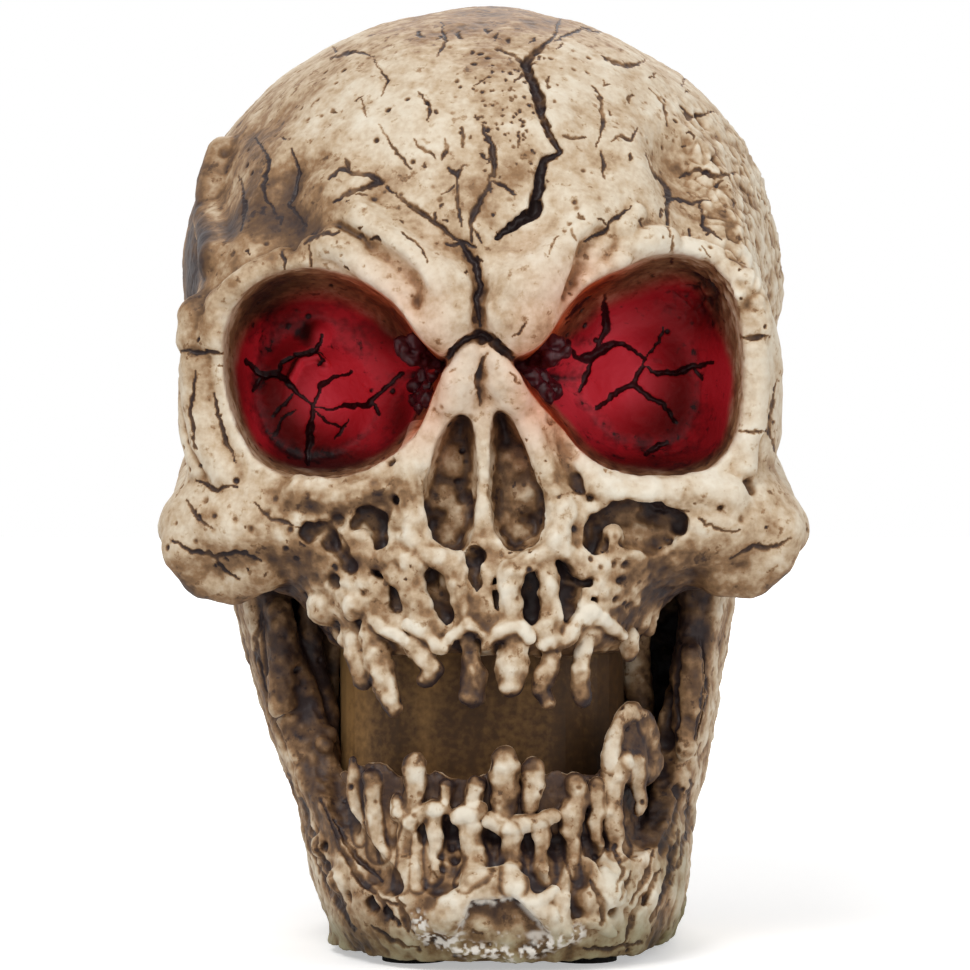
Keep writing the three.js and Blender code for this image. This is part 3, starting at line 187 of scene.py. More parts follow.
def gnarled(spots, radii, pitch, sway, swell):
    """A drawn line cut into short steps, nudged sideways and swollen by lumps, as cracks and old roots run.

    Gives the points, their radii and how far along each lies, from 0 to 1.
    """
    spots = drawn(spots)
    run = np.r_[0, np.cumsum(np.linalg.norm(np.diff(spots, axis=0), axis=1))]
    t = np.linspace(0, run[-1], max(3, int(run[-1] / pitch)))
    size = np.interp(t, run, np.broadcast_to(np.asarray(radii, float), len(spots)))
    line = np.stack([np.interp(t, run, spots[:, 0]), np.interp(t, run, spots[:, 1]), 0 * t], 1)
    nudge = np.stack([lumps(line, 9, 71) + 0.5 * lumps(line, 4, 74),
                      lumps(line, 9, 72) + 0.5 * lumps(line, 4, 75)], 1)
    return line[:, :2] + sway * nudge, size * (1 + swell * lumps(line, 14, 73)), t / run[-1]


def cut(axis, *bounds):
    """An index that slices one of three axes and keeps the other two whole."""
    return tuple(slice(*bounds) if i == axis else slice(None) for i in range(3))


class Casting:
    """A solid held as signed distances on a regular grid, negative inside, in millimetres."""

    # Depth that stands for no skin at all, and the depth a look-up starts from.
    NO_SKIN = -45.0
    START_DEPTH = -72.0

    def __init__(self, low, high, step):
        self.low = np.array(low, float)
        self.step = step
        self.count = np.ceil((np.array(high) - self.low) / step - 1e-6).astype(int) + 1
        self.d = np.full(self.count, 99.0, np.float32)

    def everywhere(self):
        """The window of the whole grid."""
        return tuple(slice(0, n) for n in self.count)

    def window(self, low, high):
        """The part of the grid that holds a box."""
        a = np.floor((np.asarray(low) - self.low) / self.step).astype(int)
        b = np.ceil((np.asarray(high) - self.low) / self.step).astype(int) + 1
        return tuple(slice(max(0, i), max(0, min(j, n))) for i, j, n in zip(a, b, self.count))

    def axes(self, part):
        """Coordinates of a window's samples, each shaped to spread along its own axis."""
        places = [self.low[i] + self.step * np.arange(part[i].start, part[i].stop) for i in range(3)]
        shapes = ((-1, 1, 1), (1, -1, 1), (1, 1, -1))
        return [place.astype(np.float32).reshape(shape) for place, shape in zip(places, shapes)]

    def join(self, part, d, blend):
        """Adds a solid within a window."""
        self.d[part] = soft_min(self.d[part], d, blend)

    def carve(self, part, d, blend):
        """Takes a solid away within a window."""
        self.d[part] = -soft_min(-self.d[part], d, blend)

    def finer(self):
        """The same solid at half the step, each new sample midway between its neighbours."""
        twice = Casting(self.low, self.low + self.step * (self.count - 1), self.step / 2)
        d = self.d
        for axis in range(3):
            wide = np.repeat(d, 2, axis=axis)
            wide = wide[cut(axis, 0, wide.shape[axis] - 1)]
            wide[cut(axis, 1, None, 2)] = 0.5 * (d[cut(axis, 0, -1)] + d[cut(axis, 1, None)])
            d = wide
        twice.d = d[twice.everywhere()].copy()
        return twice

    def read_front(self):
        """Depth of the first skin met along +y for each x and z, blank columns taking a depth well back."""
        inside = self.d < 0
        first = inside.argmax(axis=1)
        found = inside.any(axis=1)
        i, k = np.indices(first.shape)
        j = np.maximum(first, 1)
        outer, inner = self.d[i, j - 1, k], self.d[i, j, k]
        share = outer / np.maximum(outer - inner, 1e-6)
        depth = self.low[1] + self.step * (j - 1 + np.clip(share, 0, 1))
        self.front = np.where(found, depth, self.NO_SKIN)

    def front_at(self, x, z):
        """Depth of the skin as last read, at the nearest column."""
        i = np.clip(np.rint((x - self.low[0]) / self.step).astype(int), 0, self.count[0] - 1)
        k = np.clip(np.rint((z - self.low[2]) / self.step).astype(int), 0, self.count[2] - 1)
        return self.front[i, k]

    def on_skin(self, spots, sink=0.0):
        """Points of the skin at picture points: each depth is looked up again from its own line of sight."""
        spots = drawn(spots)
        y = np.full(len(spots), self.START_DEPTH)
        for _ in range(5):
            x, z = seen(spots[:, 0], spots[:, 1], y)
            y = 0.5 * y + 0.5 * self.front_at(x, z)
        y = y + sink
        x, z = seen(spots[:, 0], spots[:, 1], y)
        return np.stack([x, y, z], 1)

    def chain(self, points, radii, blend, carve=False):
        """Joins or carves a bent rod."""
        points = np.asarray(points, float)
        radii = np.broadcast_to(np.asarray(radii, float), len(points))
        reach = radii.max() + 2 * blend + 2 * self.step
        part = self.window(points.min(0) - reach, points.max(0) + reach)
        if any(s.stop <= s.start for s in part):
            return
        d = rod_chain(*self.axes(part), points, radii)
        (self.carve if carve else self.join)(part, d, blend)

    def crack(self, spots, radii, sink=0.0, blend=0.5):
        """A wandering crack that thins to its ends."""
        line, size, along = gnarled(spots, radii, *CARVED_RUN)
        size = size * (0.6 + 0.4 * np.sin(np.pi * np.clip(along, 0.1, 0.9)))
        self.chain(self.on_skin(line, sink), size, blend, carve=True)

    def root(self, spots, radii, arch, sink, blend):
        """A gnarled peg or root standing on a dental arch."""
        line, size, _ = gnarled(spots, radii, *ROOT_RUN)
        self.chain(arch_points(line, arch, sink), size, blend)

    def ridge(self, spots, radii, sink=0.0, blend=1.2):
        """A raised bead on the skin along picture points."""
        self.chain(self.on_skin(spots, sink), radii, blend)

    def groove(self, spots, radii, sink=0.0, blend=0.8):
        """A groove in the skin along picture points."""
        self.chain(self.on_skin(spots, sink), radii, blend, carve=True)

    def balls(self, spots, blend, carve):
        """Round bumps or holes at picture points, each with its radius and how deep its middle lies."""
        for u, v, radius, sink in spots:
            point = self.on_skin([(u, v)], sink)
            self.chain(np.repeat(point, 2, axis=0), radius, blend, carve)

    def pits(self, spots, blend=0.8):
        """Round holes."""
        self.balls(spots, blend, carve=True)

    def knobs(self, spots, blend=1.2):
        """Round bumps."""
        self.balls(spots, blend, carve=False)

    def bowl(self, corners, rim, depth, round_off, blend, power=2.4):
        """A hollow behind an outline, which is drawn in with depth along a rounded quarter profile."""
        corners = rounded(corners)
        x, z = seen(corners[:, 0], corners[:, 1], rim)
        low = (x.min() - BOWL_ROOM, self.low[1], z.min() - BOWL_ROOM)
        high = (x.max() + BOWL_ROOM, rim + depth + 4, z.max() + BOWL_ROOM)
        part = self.window(low, high)
        gx, gy, gz = self.axes(part)
        edge = outline_distance(gx[:, :, 0], gz[:, 0, :], np.stack([x, z], 1))[:, None, :]
        side = np.maximum(round_off + edge, 0) / round_off
        deep = np.maximum(gy - rim, 0) / depth
        self.carve(part, ((side ** power + deep ** power) ** (1 / power) - 1) * round_off, blend)


# How roots, carved cracks and drawn cracks wander: picture units to a step, sway and share of swelling.
ROOT_RUN = (6, 1.4, 0.1)
CARVED_RUN = (4.0, 2.2, 0.12)
SCORED_RUN = (3.5, 1.6, 0.25)

# Room left round a hollow's outline.
BOWL_ROOM = 6

RIDGE, GROOVE, CRACK = Casting.ridge, Casting.groove, Casting.crack
KNOBS, PITS, LOOK = Casting.knobs, Casting.pits, Casting.read_front


def model(c, strokes):
    """Works through strokes in their order: each is a tool and what it is given.

    Ridges, grooves and cracks are given picture points, radii, how far their middle lies under the skin,
    and how softly they blend. Knobs and pits are given rows of u, v, radius and depth, and a blend. A
    look takes in the skin as it now stands, for the strokes after it.
    """
    for tool, *given in strokes:
        tool(c, *given)


# Cranium

# Face from the forehead down to the gum: height, half width and how far forward.
FACE_LEVELS = np.array([
    (164, 40, 60), (154, 48, 67), (144, 54, 74), (133, 59, 77), (118, 60.5, 75), (104, 60, 74.5),
    (96, 59, 75), (88, 56, 76), (81, 46, 77.5), (74, 38, 78.5), (67, 33, 78.5), (62, 29.5, 76.5),
], float)
FACE_BACK = 20.0
FACE_TOP = 162
FACE_POWER = 2.6
GUM_Z = 62.0
UNDERSIDE_LEVELS = np.array([(130, 57, 59), (110, 59, 64), (92, 58, 64), (78, 53, 62)], float)
UNDERSIDE_BACK = 50
UNDERSIDE_FOOT = 78
UNDERSIDE_TOP = 126
CRANIUM_BOX = ((-70, -92, 46), (70, 81, 203))
BRAIN_MIDDLE = (0, 0, 140)
BRAIN_RADII = (64.3, 76, 57)
BRAIN_TAPER = 0.06
CHEEK_MIDDLE = (44, -52, 86.5)
CHEEK_RADII = (21.5, 18, 12)
SIDE_ARCH = np.array([(54, -46, 87), (59.5, -26, 91), (57.5, -2, 101), (49, 14, 109)])
SIDE_ARCH_RADIUS = 5.5

# How widely the face, the underside and the cheeks run into the braincase.
FACE_BLEND = 9
UNDERSIDE_BLEND = 6
CHEEK_BLEND = 5

# How rounded a loft's flat ends are.
END_BLEND = 3.0


def level_loft(x, y, z, levels, back, bottom, top):
    """Distance to rounded-square rings whose half width and front change with height, between two planes."""
    order = levels[::-1]
    half = np.interp(z, order[:, 0], order[:, 1]).astype(np.float32)
    front = -np.interp(z, order[:, 0], order[:, 2]).astype(np.float32)
    middle, reach = 0.5 * (front + back), 0.5 * (back - front)
    ring = np.abs(x / half) ** FACE_POWER + np.abs((y - middle) / reach) ** FACE_POWER
    d = (ring ** (1 / FACE_POWER) - 1) * np.minimum(half, reach)
    ends = np.maximum(bottom - z, z - top)
    return -soft_min(-d, -ends, END_BLEND)


def braincase(step):
    """The plain bone: tapered braincase, face, underside, cheekbones and side arches run into each other."""
    c = Casting(*CRANIUM_BOX, step)
    part = c.everywhere()
    x, y, z = c.axes(part)
    taper = 1 + BRAIN_TAPER * np.clip(y / BRAIN_RADII[1], -1, 1)
    c.d = ellipsoid(x / taper, y, z, BRAIN_MIDDLE, BRAIN_RADII).astype(np.float32)
    face = level_loft(x, y, z, FACE_LEVELS, -FACE_BACK, GUM_Z, FACE_TOP)
    c.join(part, face, FACE_BLEND)
    underside = level_loft(x, y, z, UNDERSIDE_LEVELS, UNDERSIDE_BACK, UNDERSIDE_FOOT, UNDERSIDE_TOP)
    c.join(part, underside, UNDERSIDE_BLEND)
    for side in (-1, 1):
        cheek = ellipsoid(x, y, z, (side * CHEEK_MIDDLE[0], *CHEEK_MIDDLE[1:]), CHEEK_RADII)
        c.join(part, cheek, CHEEK_BLEND)
        arch = rod_chain(x, y, z, SIDE_ARCH * (side, 1, 1), np.full(4, SIDE_ARCH_RADIUS))
        c.join(part, arch, CHEEK_BLEND)
    return c


def settle_lumps(c, tall=0.75):
    """Uneven hand-modelled skin: the distances near the skin are shifted by soft lumps of two sizes."""
    near = np.abs(c.d) < 4
    points = c.low + c.step * np.stack(np.nonzero(near), 1)
    c.d[near] += tall * lumps(points, 17.0, 3) + 0.5 * tall * lumps(points, 7.0, 5)


LEFT_SOCKET = drawn("223,345 228,319 244,293 271,275 305,268 337,272 364,283 388,298 404,316 419,338 "
                    "436,355 450,361 442,376 434,395 427,418 410,444 384,464 355,477 323,482 291,478 "
                    "263,466 243,442 230,410 224,378")
RIGHT_SOCKET = drawn("510,361 530,354 546,341 560,318 570,304 585,288 603,278 623,269 645,259 671,253 "
                     "698,257 722,272 735,296 741,325 743,356 743,390 739,424 729,453 707,472 672,481 "
                     "635,479 601,469 577,449 561,428 540,405 526,388 517,372")
LEFT_NOSTRIL = drawn("447,416 474,412 478,470 478,516 466,556 430,554 415,530 426,470")
RIGHT_NOSTRIL = drawn("490,412 506,408 532,446 554,508 546,544 514,556 494,538 489,500")

# Depth of a hollow's rim, how far it goes in, how round it is at the bottom and its blend.
SOCKET_HOLLOW = {"rim": -66.0, "depth": 27, "round_off": 13, "blend": 1.1}
NOSTRIL_HOLLOW = {"rim": -76, "depth": 9, "round_off": 4, "blend": 1.0}

# Frowning lobes down to the root of the nose, rim beads over and beside the sockets, and the nose bones.
BROWS = [
    (GROOVE, "272,160 262,196 264,236", 12.4, -15, 4),
    (GROOVE, "708,140 720,180 724,226", 12.2, -14.6, 4),
    (RIDGE, "222,152 214,182 211,215 215,258", (3.2, 3.6, 3.6, 3.2), 2.4, 3),
    (RIDGE, "346,208 378,232 408,256 436,286 440,321",
     (9, 10, 10.5, 9, 7.2), (10.2, 7.2, 6, 4.0, 1.4), 3),
    (RIDGE, "608,212 572,234 541,264 524,292 525,320",
     (9, 10, 10, 8.6, 7.4), (10.2, 7.2, 5.4, 3.4, 1.4), 3),
    (KNOBS, [(459, 309, 5.4, 1.0), (496, 312, 5.0, 1.0)], 2),
    (LOOK,),
    (GROOVE, "338,226 356,238 374,248 396,263 410,276 420,290 414,306",
     (1.2, 1.7, 1.9, 1.9, 1.8, 1.5, 1.0), 0.1, 1.6),
    (GROOVE, "602,230 587,246 579,272 568,297", (1.3, 1.7, 1.7, 1.3), 0.1, 1.6),
    (GROOVE, "380,182 408,204 436,224 462,242", (4.2, 5, 5, 4.2), -3.7, 3),
    (GROOVE, "500,240 524,226 540,214 566,200", (4.2, 5, 5, 4.2), -3.7, 3),
    (GROOVE, "466,247 475,264 480,290 478,304 480,326", (1.0, 1.2, 1.2, 1.2, 1.5), 0.3, 2.0),
    (RIDGE, "213,325 218,302 240,282 262,269 283,259", (2.6, 2.6, 2.4, 2.4, 2.4), 0.2, 1.2),
    (RIDGE, "288,264 308,262", 2.2, 0.2, 1.0),
    (RIDGE, "312,250 332,245 352,252", (2.6, 3.2, 2.8), 0.4, 1.4),
    (RIDGE, "355,262 378,278 398,300 414,326", (2.6, 2.6, 2.4, 2.0), 0.3, 1.6),
    (RIDGE, "684,248 704,253 724,263 743,281 755,305 757,327", (2.4, 2.4, 2.6, 2.8, 3, 3.2), 0.1, 1.2),
    (RIDGE, "627,247 648,242 666,241", (2.6, 3.2, 3.0), 0.3, 1.2),
    (RIDGE, "637,213 624,230", (2.0, 2.4), 0.2, 1.0),
    (KNOBS, [(619, 264, 2.8, 0.0), (600, 272, 2.2, 0.2), (588, 284, 2.2, 0.4)], 1.0),
    (KNOBS, [(200, 318, 4.4, 1.6), (197, 340, 4.2, 1.4), (214, 338, 3.2, 1.0)], 1.6),
    (RIDGE, "198,364 200,400 208,440 226,474", (3.6, 3.8, 3.6, 3.2), 1.4, 1.2),
    (RIDGE, "189,380 190,430 200,470", 2.2, 0.8, 1.0),
    (RIDGE, "754,350 756,385 752,424", (2.9, 2.7, 2.9), 0.6, 1.0),
    (RIDGE, "746,436 744,466", (2.6, 2.8), 0.6, 1.0),
    (RIDGE, "468,352 459,380 453,402", (2.8, 4.2, 3.4), 0.0, 2),
    (RIDGE, "496,352 507,380 514,400", (2.8, 4.4, 3.4), 0.0, 2),
    (LOOK,),
    (GROOVE, "446,360 453,350 461,343 471,338 481,336 491,338 500,347 509,355 517,361", 1.0, 0.2, 0.9),
    (PITS, [(477, 334, 0.9, 0.3), (484, 337, 1.1, 0.4), (481, 341, 0.8, 0.3)], 0.5),
]

# The balls cast in the sockets, the swells in the nose, and a fold on the left ball.
SOCKET_BALLS = [(304, 406, 14, 7.6), (318, 334, 1.5, 0.4), (640, 392, 15, 12.0)]
NOSE_SWELLS = [
    (452, 462, 3.4, 2.0), (440, 500, 3.6, 2.4), (446, 536, 3.4, 2.6), (514, 462, 3.4, 2.2),
    (524, 500, 3.8, 2.6), (518, 534, 3.4, 2.6), (460, 520, 2.6, 1.6), (504, 520, 2.4, 1.6),
]
SOCKET_FORMS = [
    (LOOK,),
    (KNOBS, SOCKET_BALLS, 3),
    (KNOBS, NOSE_SWELLS, 2),
    (LOOK,),
    (RIDGE, "290,380 300,360 318,356 326,364", 0.8, 0.2, 0.8),
]

# Ridges, holes and cracks of the cheekbones and of the face beside the nose.
CHEEK_PITS = [
    (750, 487, 1.8, 0.2), (700, 500, 0.8, 0), (672, 520, 0.7, 0), (660, 505, 0.6, 0), (742, 520, 0.7, 0),
    (720, 508, 0.6, 0), (236, 520, 0.7, 0), (250, 530, 0.6, 0), (268, 512, 0.6, 0), (205, 500, 0.8, 0.1),
    (412, 415, 1.0, 0), (400, 440, 0.8, 0), (392, 462, 0.9, 0), (405, 478, 0.8, 0), (398, 500, 0.9, 0),
    (572, 452, 1.6, 0.2), (566, 432, 1.4, 0.2), (575, 480, 1.4, 0.2), (590, 500, 1.0, 0),
    (552, 420, 1.2, 0),
]
CHEEKS = [
    (RIDGE, "186,552 206,572 234,578 262,570", (4.6, 5.4, 5.4, 4.4), 3.4, 3),
    (RIDGE, "722,574 750,572 770,556 782,534", (4.6, 5.2, 5.0, 4.2), 3.4, 3),
    (LOOK,),
    (RIDGE, "300,492 340,497 380,488 412,462", (3, 2.6, 2.4, 2), 0.6, 2.5),
    (RIDGE, "596,486 640,494 690,490 730,494", (2.4, 2.6, 2.8, 3), 0.6, 2.5),
    (RIDGE, "418,430 408,470 410,510 420,548 450,566", (2, 2.4, 2.4, 2.4, 2.6), 0.2, 1.4),
    (RIDGE, "528,425 546,470 562,512 556,548 528,566", (2, 2.2, 2.4, 2.4, 2.6), 0.2, 1.4),
    (PITS, CHEEK_PITS),
    (GROOVE, "560,430 566,460 580,490", 1.2, 0.2, 1.0),
]

# Dental arches: half width, front and middle.
UPPER_ARCH = np.array([32.0, -79.5, 0.0])
LOWER_ARCH = np.array([32.5, -77.0, 2.0])

# Holes and grooves over the upper gum.
UPPER_HOLES = [
    (338, 522, 1.5, 0.4), (348, 568, 1.7, 0.6), (380, 572, 2.0, 0.8), (360, 622, 1.4, 0.4),
    (334, 582, 1.6, 0.5), (366, 594, 1.4, 0.4), (404, 552, 1.2, 0.3), (340, 634, 1.3, 0.3),
]
UPPER_FACE = [
    (GROOVE, "308,532 318,530", (2.0, 1.6), 0.8),
    (GROOVE, "324,528 334,542 346,556", (1.6, 2.2, 1.5), 0.9),
    (GROOVE, "356,526 366,516 380,526 382,546", (1.4, 2.2, 2.4, 1.6), 1.0),
    (PITS, UPPER_HOLES),
    (GROOVE, "396,586 397,606", 1.6, 0.7),
    (GROOVE, "594,546 600,528 622,516 650,514 676,524", (2.6, 3.4, 3.8, 3.8, 2.6), 1.8, 1.0),
    (GROOVE, "626,536 648,540 664,536", (2.6, 3.0, 2.4), 1.6, 1.0),
]

# Pockets between the roots: picture points and radius.
UPPER_POCKETS = [
    ("432,580 438,598 440,614", 3.0),
    ("474,558 473,572 477,592", (2.2, 1.6, 1.2)),
    ("498,580 498,606", 1.3),
    ("532,580 532,614", 2.7),
    ("568,590 568,612", 2.4),
    ("564,556 572,572", 2.7),
    ("482,604 484,622", 1.5),
    ("574,580 588,582", 1.3),
    ("592,600 594,614", 1.2),
]

# Roots over the gum: picture points, radii and depth. Then knobs between them.
UPPER_ROOTS = [
    ("413,564 412,590 420,614 434,630", (2.2, 2.4, 2.5, 2.0), 0.8),
    ("455,576 462,598 468,622", (1.9, 2.1, 1.9), 0.8),
    ("483,598 490,628", (1.2, 1.4), 1.4),
    ("512,572 511,592 512,626", (2.7, 1.9, 2.1), 0.8),
    ("547,572 549,600 549,640", (2.0, 1.9, 2.9), 0.8),
    ("552,540 570,556 582,572", (2.4, 2.0, 1.8), 0.8),
    ("611,541 606,556 602,580 603,606", (2.0, 2.1, 2.0, 2.0), 0.6),
    ("642,556 641,585 640,622", (1.7, 1.7, 1.9), 1.6),
    ("656,566 652,600 648,630", 1.4, 2.8),
    ("317,540 330,566 341,594", (1.8, 2.0, 2.2), 0.6),
    ("352,540 362,556 378,562 396,556", (2.4, 2.0, 1.6, 1.8), 0.6),
    ("364,576 376,592 378,622", (1.8, 2.0, 2.3), 0.8),
    ("388,566 398,578 408,590", 1.7, 0.8),
]
UPPER_KNOBS = [
    (325, 608, 3.4, 1.2), (356, 604, 3.0, 1.2), (612, 534, 2.0, 2.0), (400, 520, 2.2, 0.6),
    (410, 540, 2.2, 0.6), (350, 640, 2.4, 1.0), (396, 628, 2.2, 0.6),
]

# White gum lips, broken pegs of teeth below them: picture points and radii. Then pits in the pegs.
UPPER_LIPS = [
    ("408,626 424,632 441,650 452,636", (1.2, 1.5, 1.5, 1.1)),
    ("459,632 469,623 481,634", (1.3, 1.7, 1.3)),
    ("487,646 501,632 519,626 528,636", (1.4, 1.7, 1.7, 1.4)),
    ("546,645 567,640 577,622 590,611 608,624 622,636", (1.4, 1.6, 1.5, 1.7, 1.5, 1.3)),
    ("374,622 388,632 402,640", (1.2, 1.5, 1.2)),
]
UPPER_PEGS = [
    ("352,640 358,660 364,678", (2.2, 2.4, 1.9)),
    ("370,628 377,655 385,684 392,706", (2.2, 2.9, 2.5, 1.7)),
    ("416,645 426,660 434,670 424,680", (2.2, 2.5, 2.1, 1.5)),
    ("466,634 470,655 473,676 471,694", (1.5, 1.9, 2.8, 2.9)),
    ("512,640 513,664 510,684", (2.3, 3.1, 2.5)),
    ("553,654 546,674 541,686 548,702", (1.8, 2.2, 2.0, 1.3)),
    ("595,628 586,648 580,672 584,696", (1.2, 1.4, 1.8, 2.2)),
    ("630,636 631,654", (1.8, 1.5)),
]
PEG_PITS = [
    (424, 655, 0.9, 0), (433, 668, 0.8, 0), (422, 668, 0.7, 0), (476, 668, 0.6, 0), (545, 668, 0.7, 0),
    (613, 565, 0.8, 0), (620, 582, 0.9, 0), (615, 600, 0.8, 0), (628, 606, 0.7, 0), (624, 566, 0.7, 0),
]

# The deep split right of the middle, with its holes, and the larger pits.
FOREHEAD_PITS = [
    (536, 206, 1.5, 1.2), (526, 62, 1.3, 0.5), (309, 138, 1.0, 0), (222, 148, 2.2, 0.3),
    (735, 232, 1.6, 0), (705, 118, 2.6, 0.6), (718, 158, 1.6, 0.2), (690, 140, 1.4, 0.2),
]
SPLIT_ABOVE = "560,16 554,37 526,62 538,93 547,130 560,152"
SPLIT_BELOW = "560,152 544,161 538,192 535,210 516,224 495,238"
FOREHEAD = [
    (CRACK, SPLIT_ABOVE, (0.6, 0.7, 1.2, 1.2, 0.9, 0.9), 0.5),
    (CRACK, SPLIT_BELOW, (0.9, 1.1, 1.2, 1.3, 1.2, 0.8), 0.5),
    (PITS, FOREHEAD_PITS, 0.6),
]


def arch_points(spots, arch, sink):
    """Picture points set on a dental arch, a rounded-square curve of given half width, front and middle."""
    spots = drawn(spots)
    x, _ = seen(spots[:, 0], spots[:, 1], arch[1])
    across = np.minimum(np.abs(x - arch[2]) / arch[0], 0.97)
    reach = (1 - across ** FACE_POWER) ** (1 / FACE_POWER)
    middle = 0.5 * (arch[1] - FACE_BACK)
    y = middle + reach * (arch[1] - middle) + sink
    x, z = seen(spots[:, 0], spots[:, 1], y)
    return np.stack([x, y, z], 1)


def sockets(c):
    """Eye sockets and nose opening, with the balls and swells cast inside them."""
    for outline in (LEFT_SOCKET, RIGHT_SOCKET):
        c.bowl(outline, **SOCKET_HOLLOW)
    for outline in (LEFT_NOSTRIL, RIGHT_NOSTRIL):
        c.bowl(outline, **NOSTRIL_HOLLOW)
    model(c, SOCKET_FORMS)


def upper_jaw(c):
    """Roots and pockets over the gum, white gum lips, and the broken pegs of teeth below them."""
    model(c, UPPER_FACE)
    for spots, radius in UPPER_POCKETS:
        c.groove(spots, radius, sink=1.2, blend=0.7)
    for spots, radii, sink in UPPER_ROOTS:
        c.root(spots, radii, UPPER_ARCH, sink=sink + 0.5, blend=1.2)
    c.knobs(UPPER_KNOBS)
    for spots, radii in UPPER_LIPS:
        c.root(spots, radii, UPPER_ARCH, sink=0.2, blend=0.8)
    for spots, radii in UPPER_PEGS:
        c.root(spots, radii, UPPER_ARCH, sink=1.8, blend=0.9)
    c.pits(PEG_PITS, blend=0.5)


def cranium():
    """The whole cranium, from plain bone to the last crack."""
    c = braincase(2 * GRID)
    settle_lumps(c)
    c = c.finer()
    c.read_front()
    model(c, BROWS)
    sockets(c)
    model(c, CHEEKS)
    upper_jaw(c)
    c.read_front()
    model(c, FOREHEAD)
    seat_column(c, COLUMN_TOP)
    return c


# Jaw

# Jaw from its foot to the top of its branches: height, half width, front and back.
JAW_LEVELS = np.array([
    (1.8, 35, 78, 45), (5.8, 37, 80, 47), (13.8, 39, 82, 47), (28.8, 41.5, 77, 41), (44.8, 46.5, 74, 38),
    (78, 54, 66, 36),
], float)
JAW_BOX = ((-62, -92, -1), (64, 56, 82))
JAW_FOOT = 1.8
JAW_TOP = 77.7
JAW_LEAN = 4.5
JAW_POWER = 2.7
JAW_FLOOR = 13

# Walls of the jaw at the sides, in front and behind.
JAW_SIDE_WALL = 8.5
JAW_FRONT_WALL = 15
JAW_BACK_WALL = 9

# Cuts through the jaw seen from the front (x, z) and from the side (y, z), and the webs to the throat.
MOUTH_CUT = np.array([
    (-17, 22), (26, 22), (32.5, 26), (33.5, 36), (45.5, 90), (-45.5, 90), (-28, 36), (-26, 26),
], float)
FRONT_CUT = np.array([(-95, 29), (-62, 31), (-53, 36), (-50, 50), (-48, 90), (-95, 90)], float)
BACK_CUT = np.array([(-4, 90), (-9, 50), (2, 22), (12, 12.8), (70, 12.8), (70, 90)], float)
WEB = np.array([
    (-11, 82), (-12, 50), (-30, 36), (-44, 24), (-46, 8), (6, 8), (2, 22), (-5, 50), (-1, 82),
], float)

# Gum wall behind the lower teeth: height, half width, half depth and middle.
GUM_TOP = 38.5
GUM_FOOT = 8
GUM_HALF = (31.5, 27.5)
GUM_MIDDLE_Y = -47

# How softly the jaw's cuts, webs and gum run into it.
CUT_BLEND = 3
WEB_BLEND = 2
GUM_BLEND = 2.5

# Throat column seen from above, with a fine gap all round, and the thin collar of the jaw round its foot.
COLUMN_HALF = (29.3, 47.8)
COLUMN_MIDDLE_Y = -14.5
COLUMN_CORNER = 20
COLUMN_TOP = 82
COLLAR_WALL = 1.8
COLLAR_TOP = 13.5

# A height above the whole jaw.
PAST_JAW = 90


def jaw_lean(z):
    """How far the jaw leans to the right at a height: most at its foot, none at its top."""
    return JAW_LEAN * (1 - (z - JAW_FOOT) / (JAW_TOP - JAW_FOOT))


def jaw_shell(step):
    """A leaning tapered shell, open above, its two branches joined to the throat by webs, and a gum wall."""
    c = Casting(*JAW_BOX, step)
    part = c.everywhere()
    x, y, z = c.axes(part)
    lean = jaw_lean(z)
    levels = [np.interp(z, JAW_LEVELS[:, 0], JAW_LEVELS[:, i]).astype(np.float32) for i in (1, 2, 3)]

    def ring(half, front, back):
        """Distance to a rounded-square ring that leans with the jaw."""
        middle, reach = 0.5 * (back - front), 0.5 * (back + front)
        r = np.abs((x - lean) / half) ** JAW_POWER + np.abs((y - middle) / reach) ** JAW_POWER
        return (r ** (1 / JAW_POWER) - 1) * np.minimum(half, reach)

    def across(corners):
        """Distance to an outline seen from the front, at every depth."""
        return outline_distance(x[:, :, 0], z[:, 0, :], rounded(corners))[:, None, :]

    def along(corners):
        """Distance to an outline seen from the side, at every width."""
        return outline_distance(y[0], z[0], rounded(corners))[None]

    outer = ring(*levels)
    c.d = np.maximum(outer, np.maximum(JAW_FOOT - z, z - JAW_TOP)).astype(np.float32)
    half, front, back = levels
    inner = ring(half - JAW_SIDE_WALL, front - JAW_FRONT_WALL, back - JAW_BACK_WALL)
    c.carve(part, np.maximum(inner, JAW_FLOOR - z), CUT_BLEND)
    for opening in (across(MOUTH_CUT), along(FRONT_CUT), along(BACK_CUT)):
        c.carve(part, opening, CUT_BLEND)
    c.join(part, np.maximum(along(WEB), np.maximum(outer + 2, z - JAW_TOP)), WEB_BLEND)
    # The gum's top is wavy, higher at the sides and lower to the back.
    waves = 0.7 * np.sin(0.55 * x), 0.3 * np.sin(1.3 * x + 1)
    top = GUM_TOP + 3 * smooth(12, 26, np.abs(x - 1.5)) - 0.25 * (y + 74) + waves[0] + waves[1]
    gum = np.abs((x - 0.5 * lean) / GUM_HALF[0]) ** FACE_POWER
    gum = gum + np.abs((y - GUM_MIDDLE_Y) / GUM_HALF[1]) ** FACE_POWER
    gum = (gum ** (1 / FACE_POWER) - 1) * GUM_HALF[1]
    c.join(part, np.maximum(gum, np.maximum(z - top, GUM_FOOT - z)), GUM_BLEND)
    return c


def column_distance(x, y):
    """Distance to the throat column seen from above: a rounded oblong."""
    a = np.abs(x) - COLUMN_HALF[0] + COLUMN_CORNER
    b = np.abs(y - COLUMN_MIDDLE_Y) - COLUMN_HALF[1] + COLUMN_CORNER
    corner = np.sqrt(np.maximum(a, 0) ** 2 + np.maximum(b, 0) ** 2)
    return corner + np.minimum(np.maximum(a, b), 0) - COLUMN_CORNER


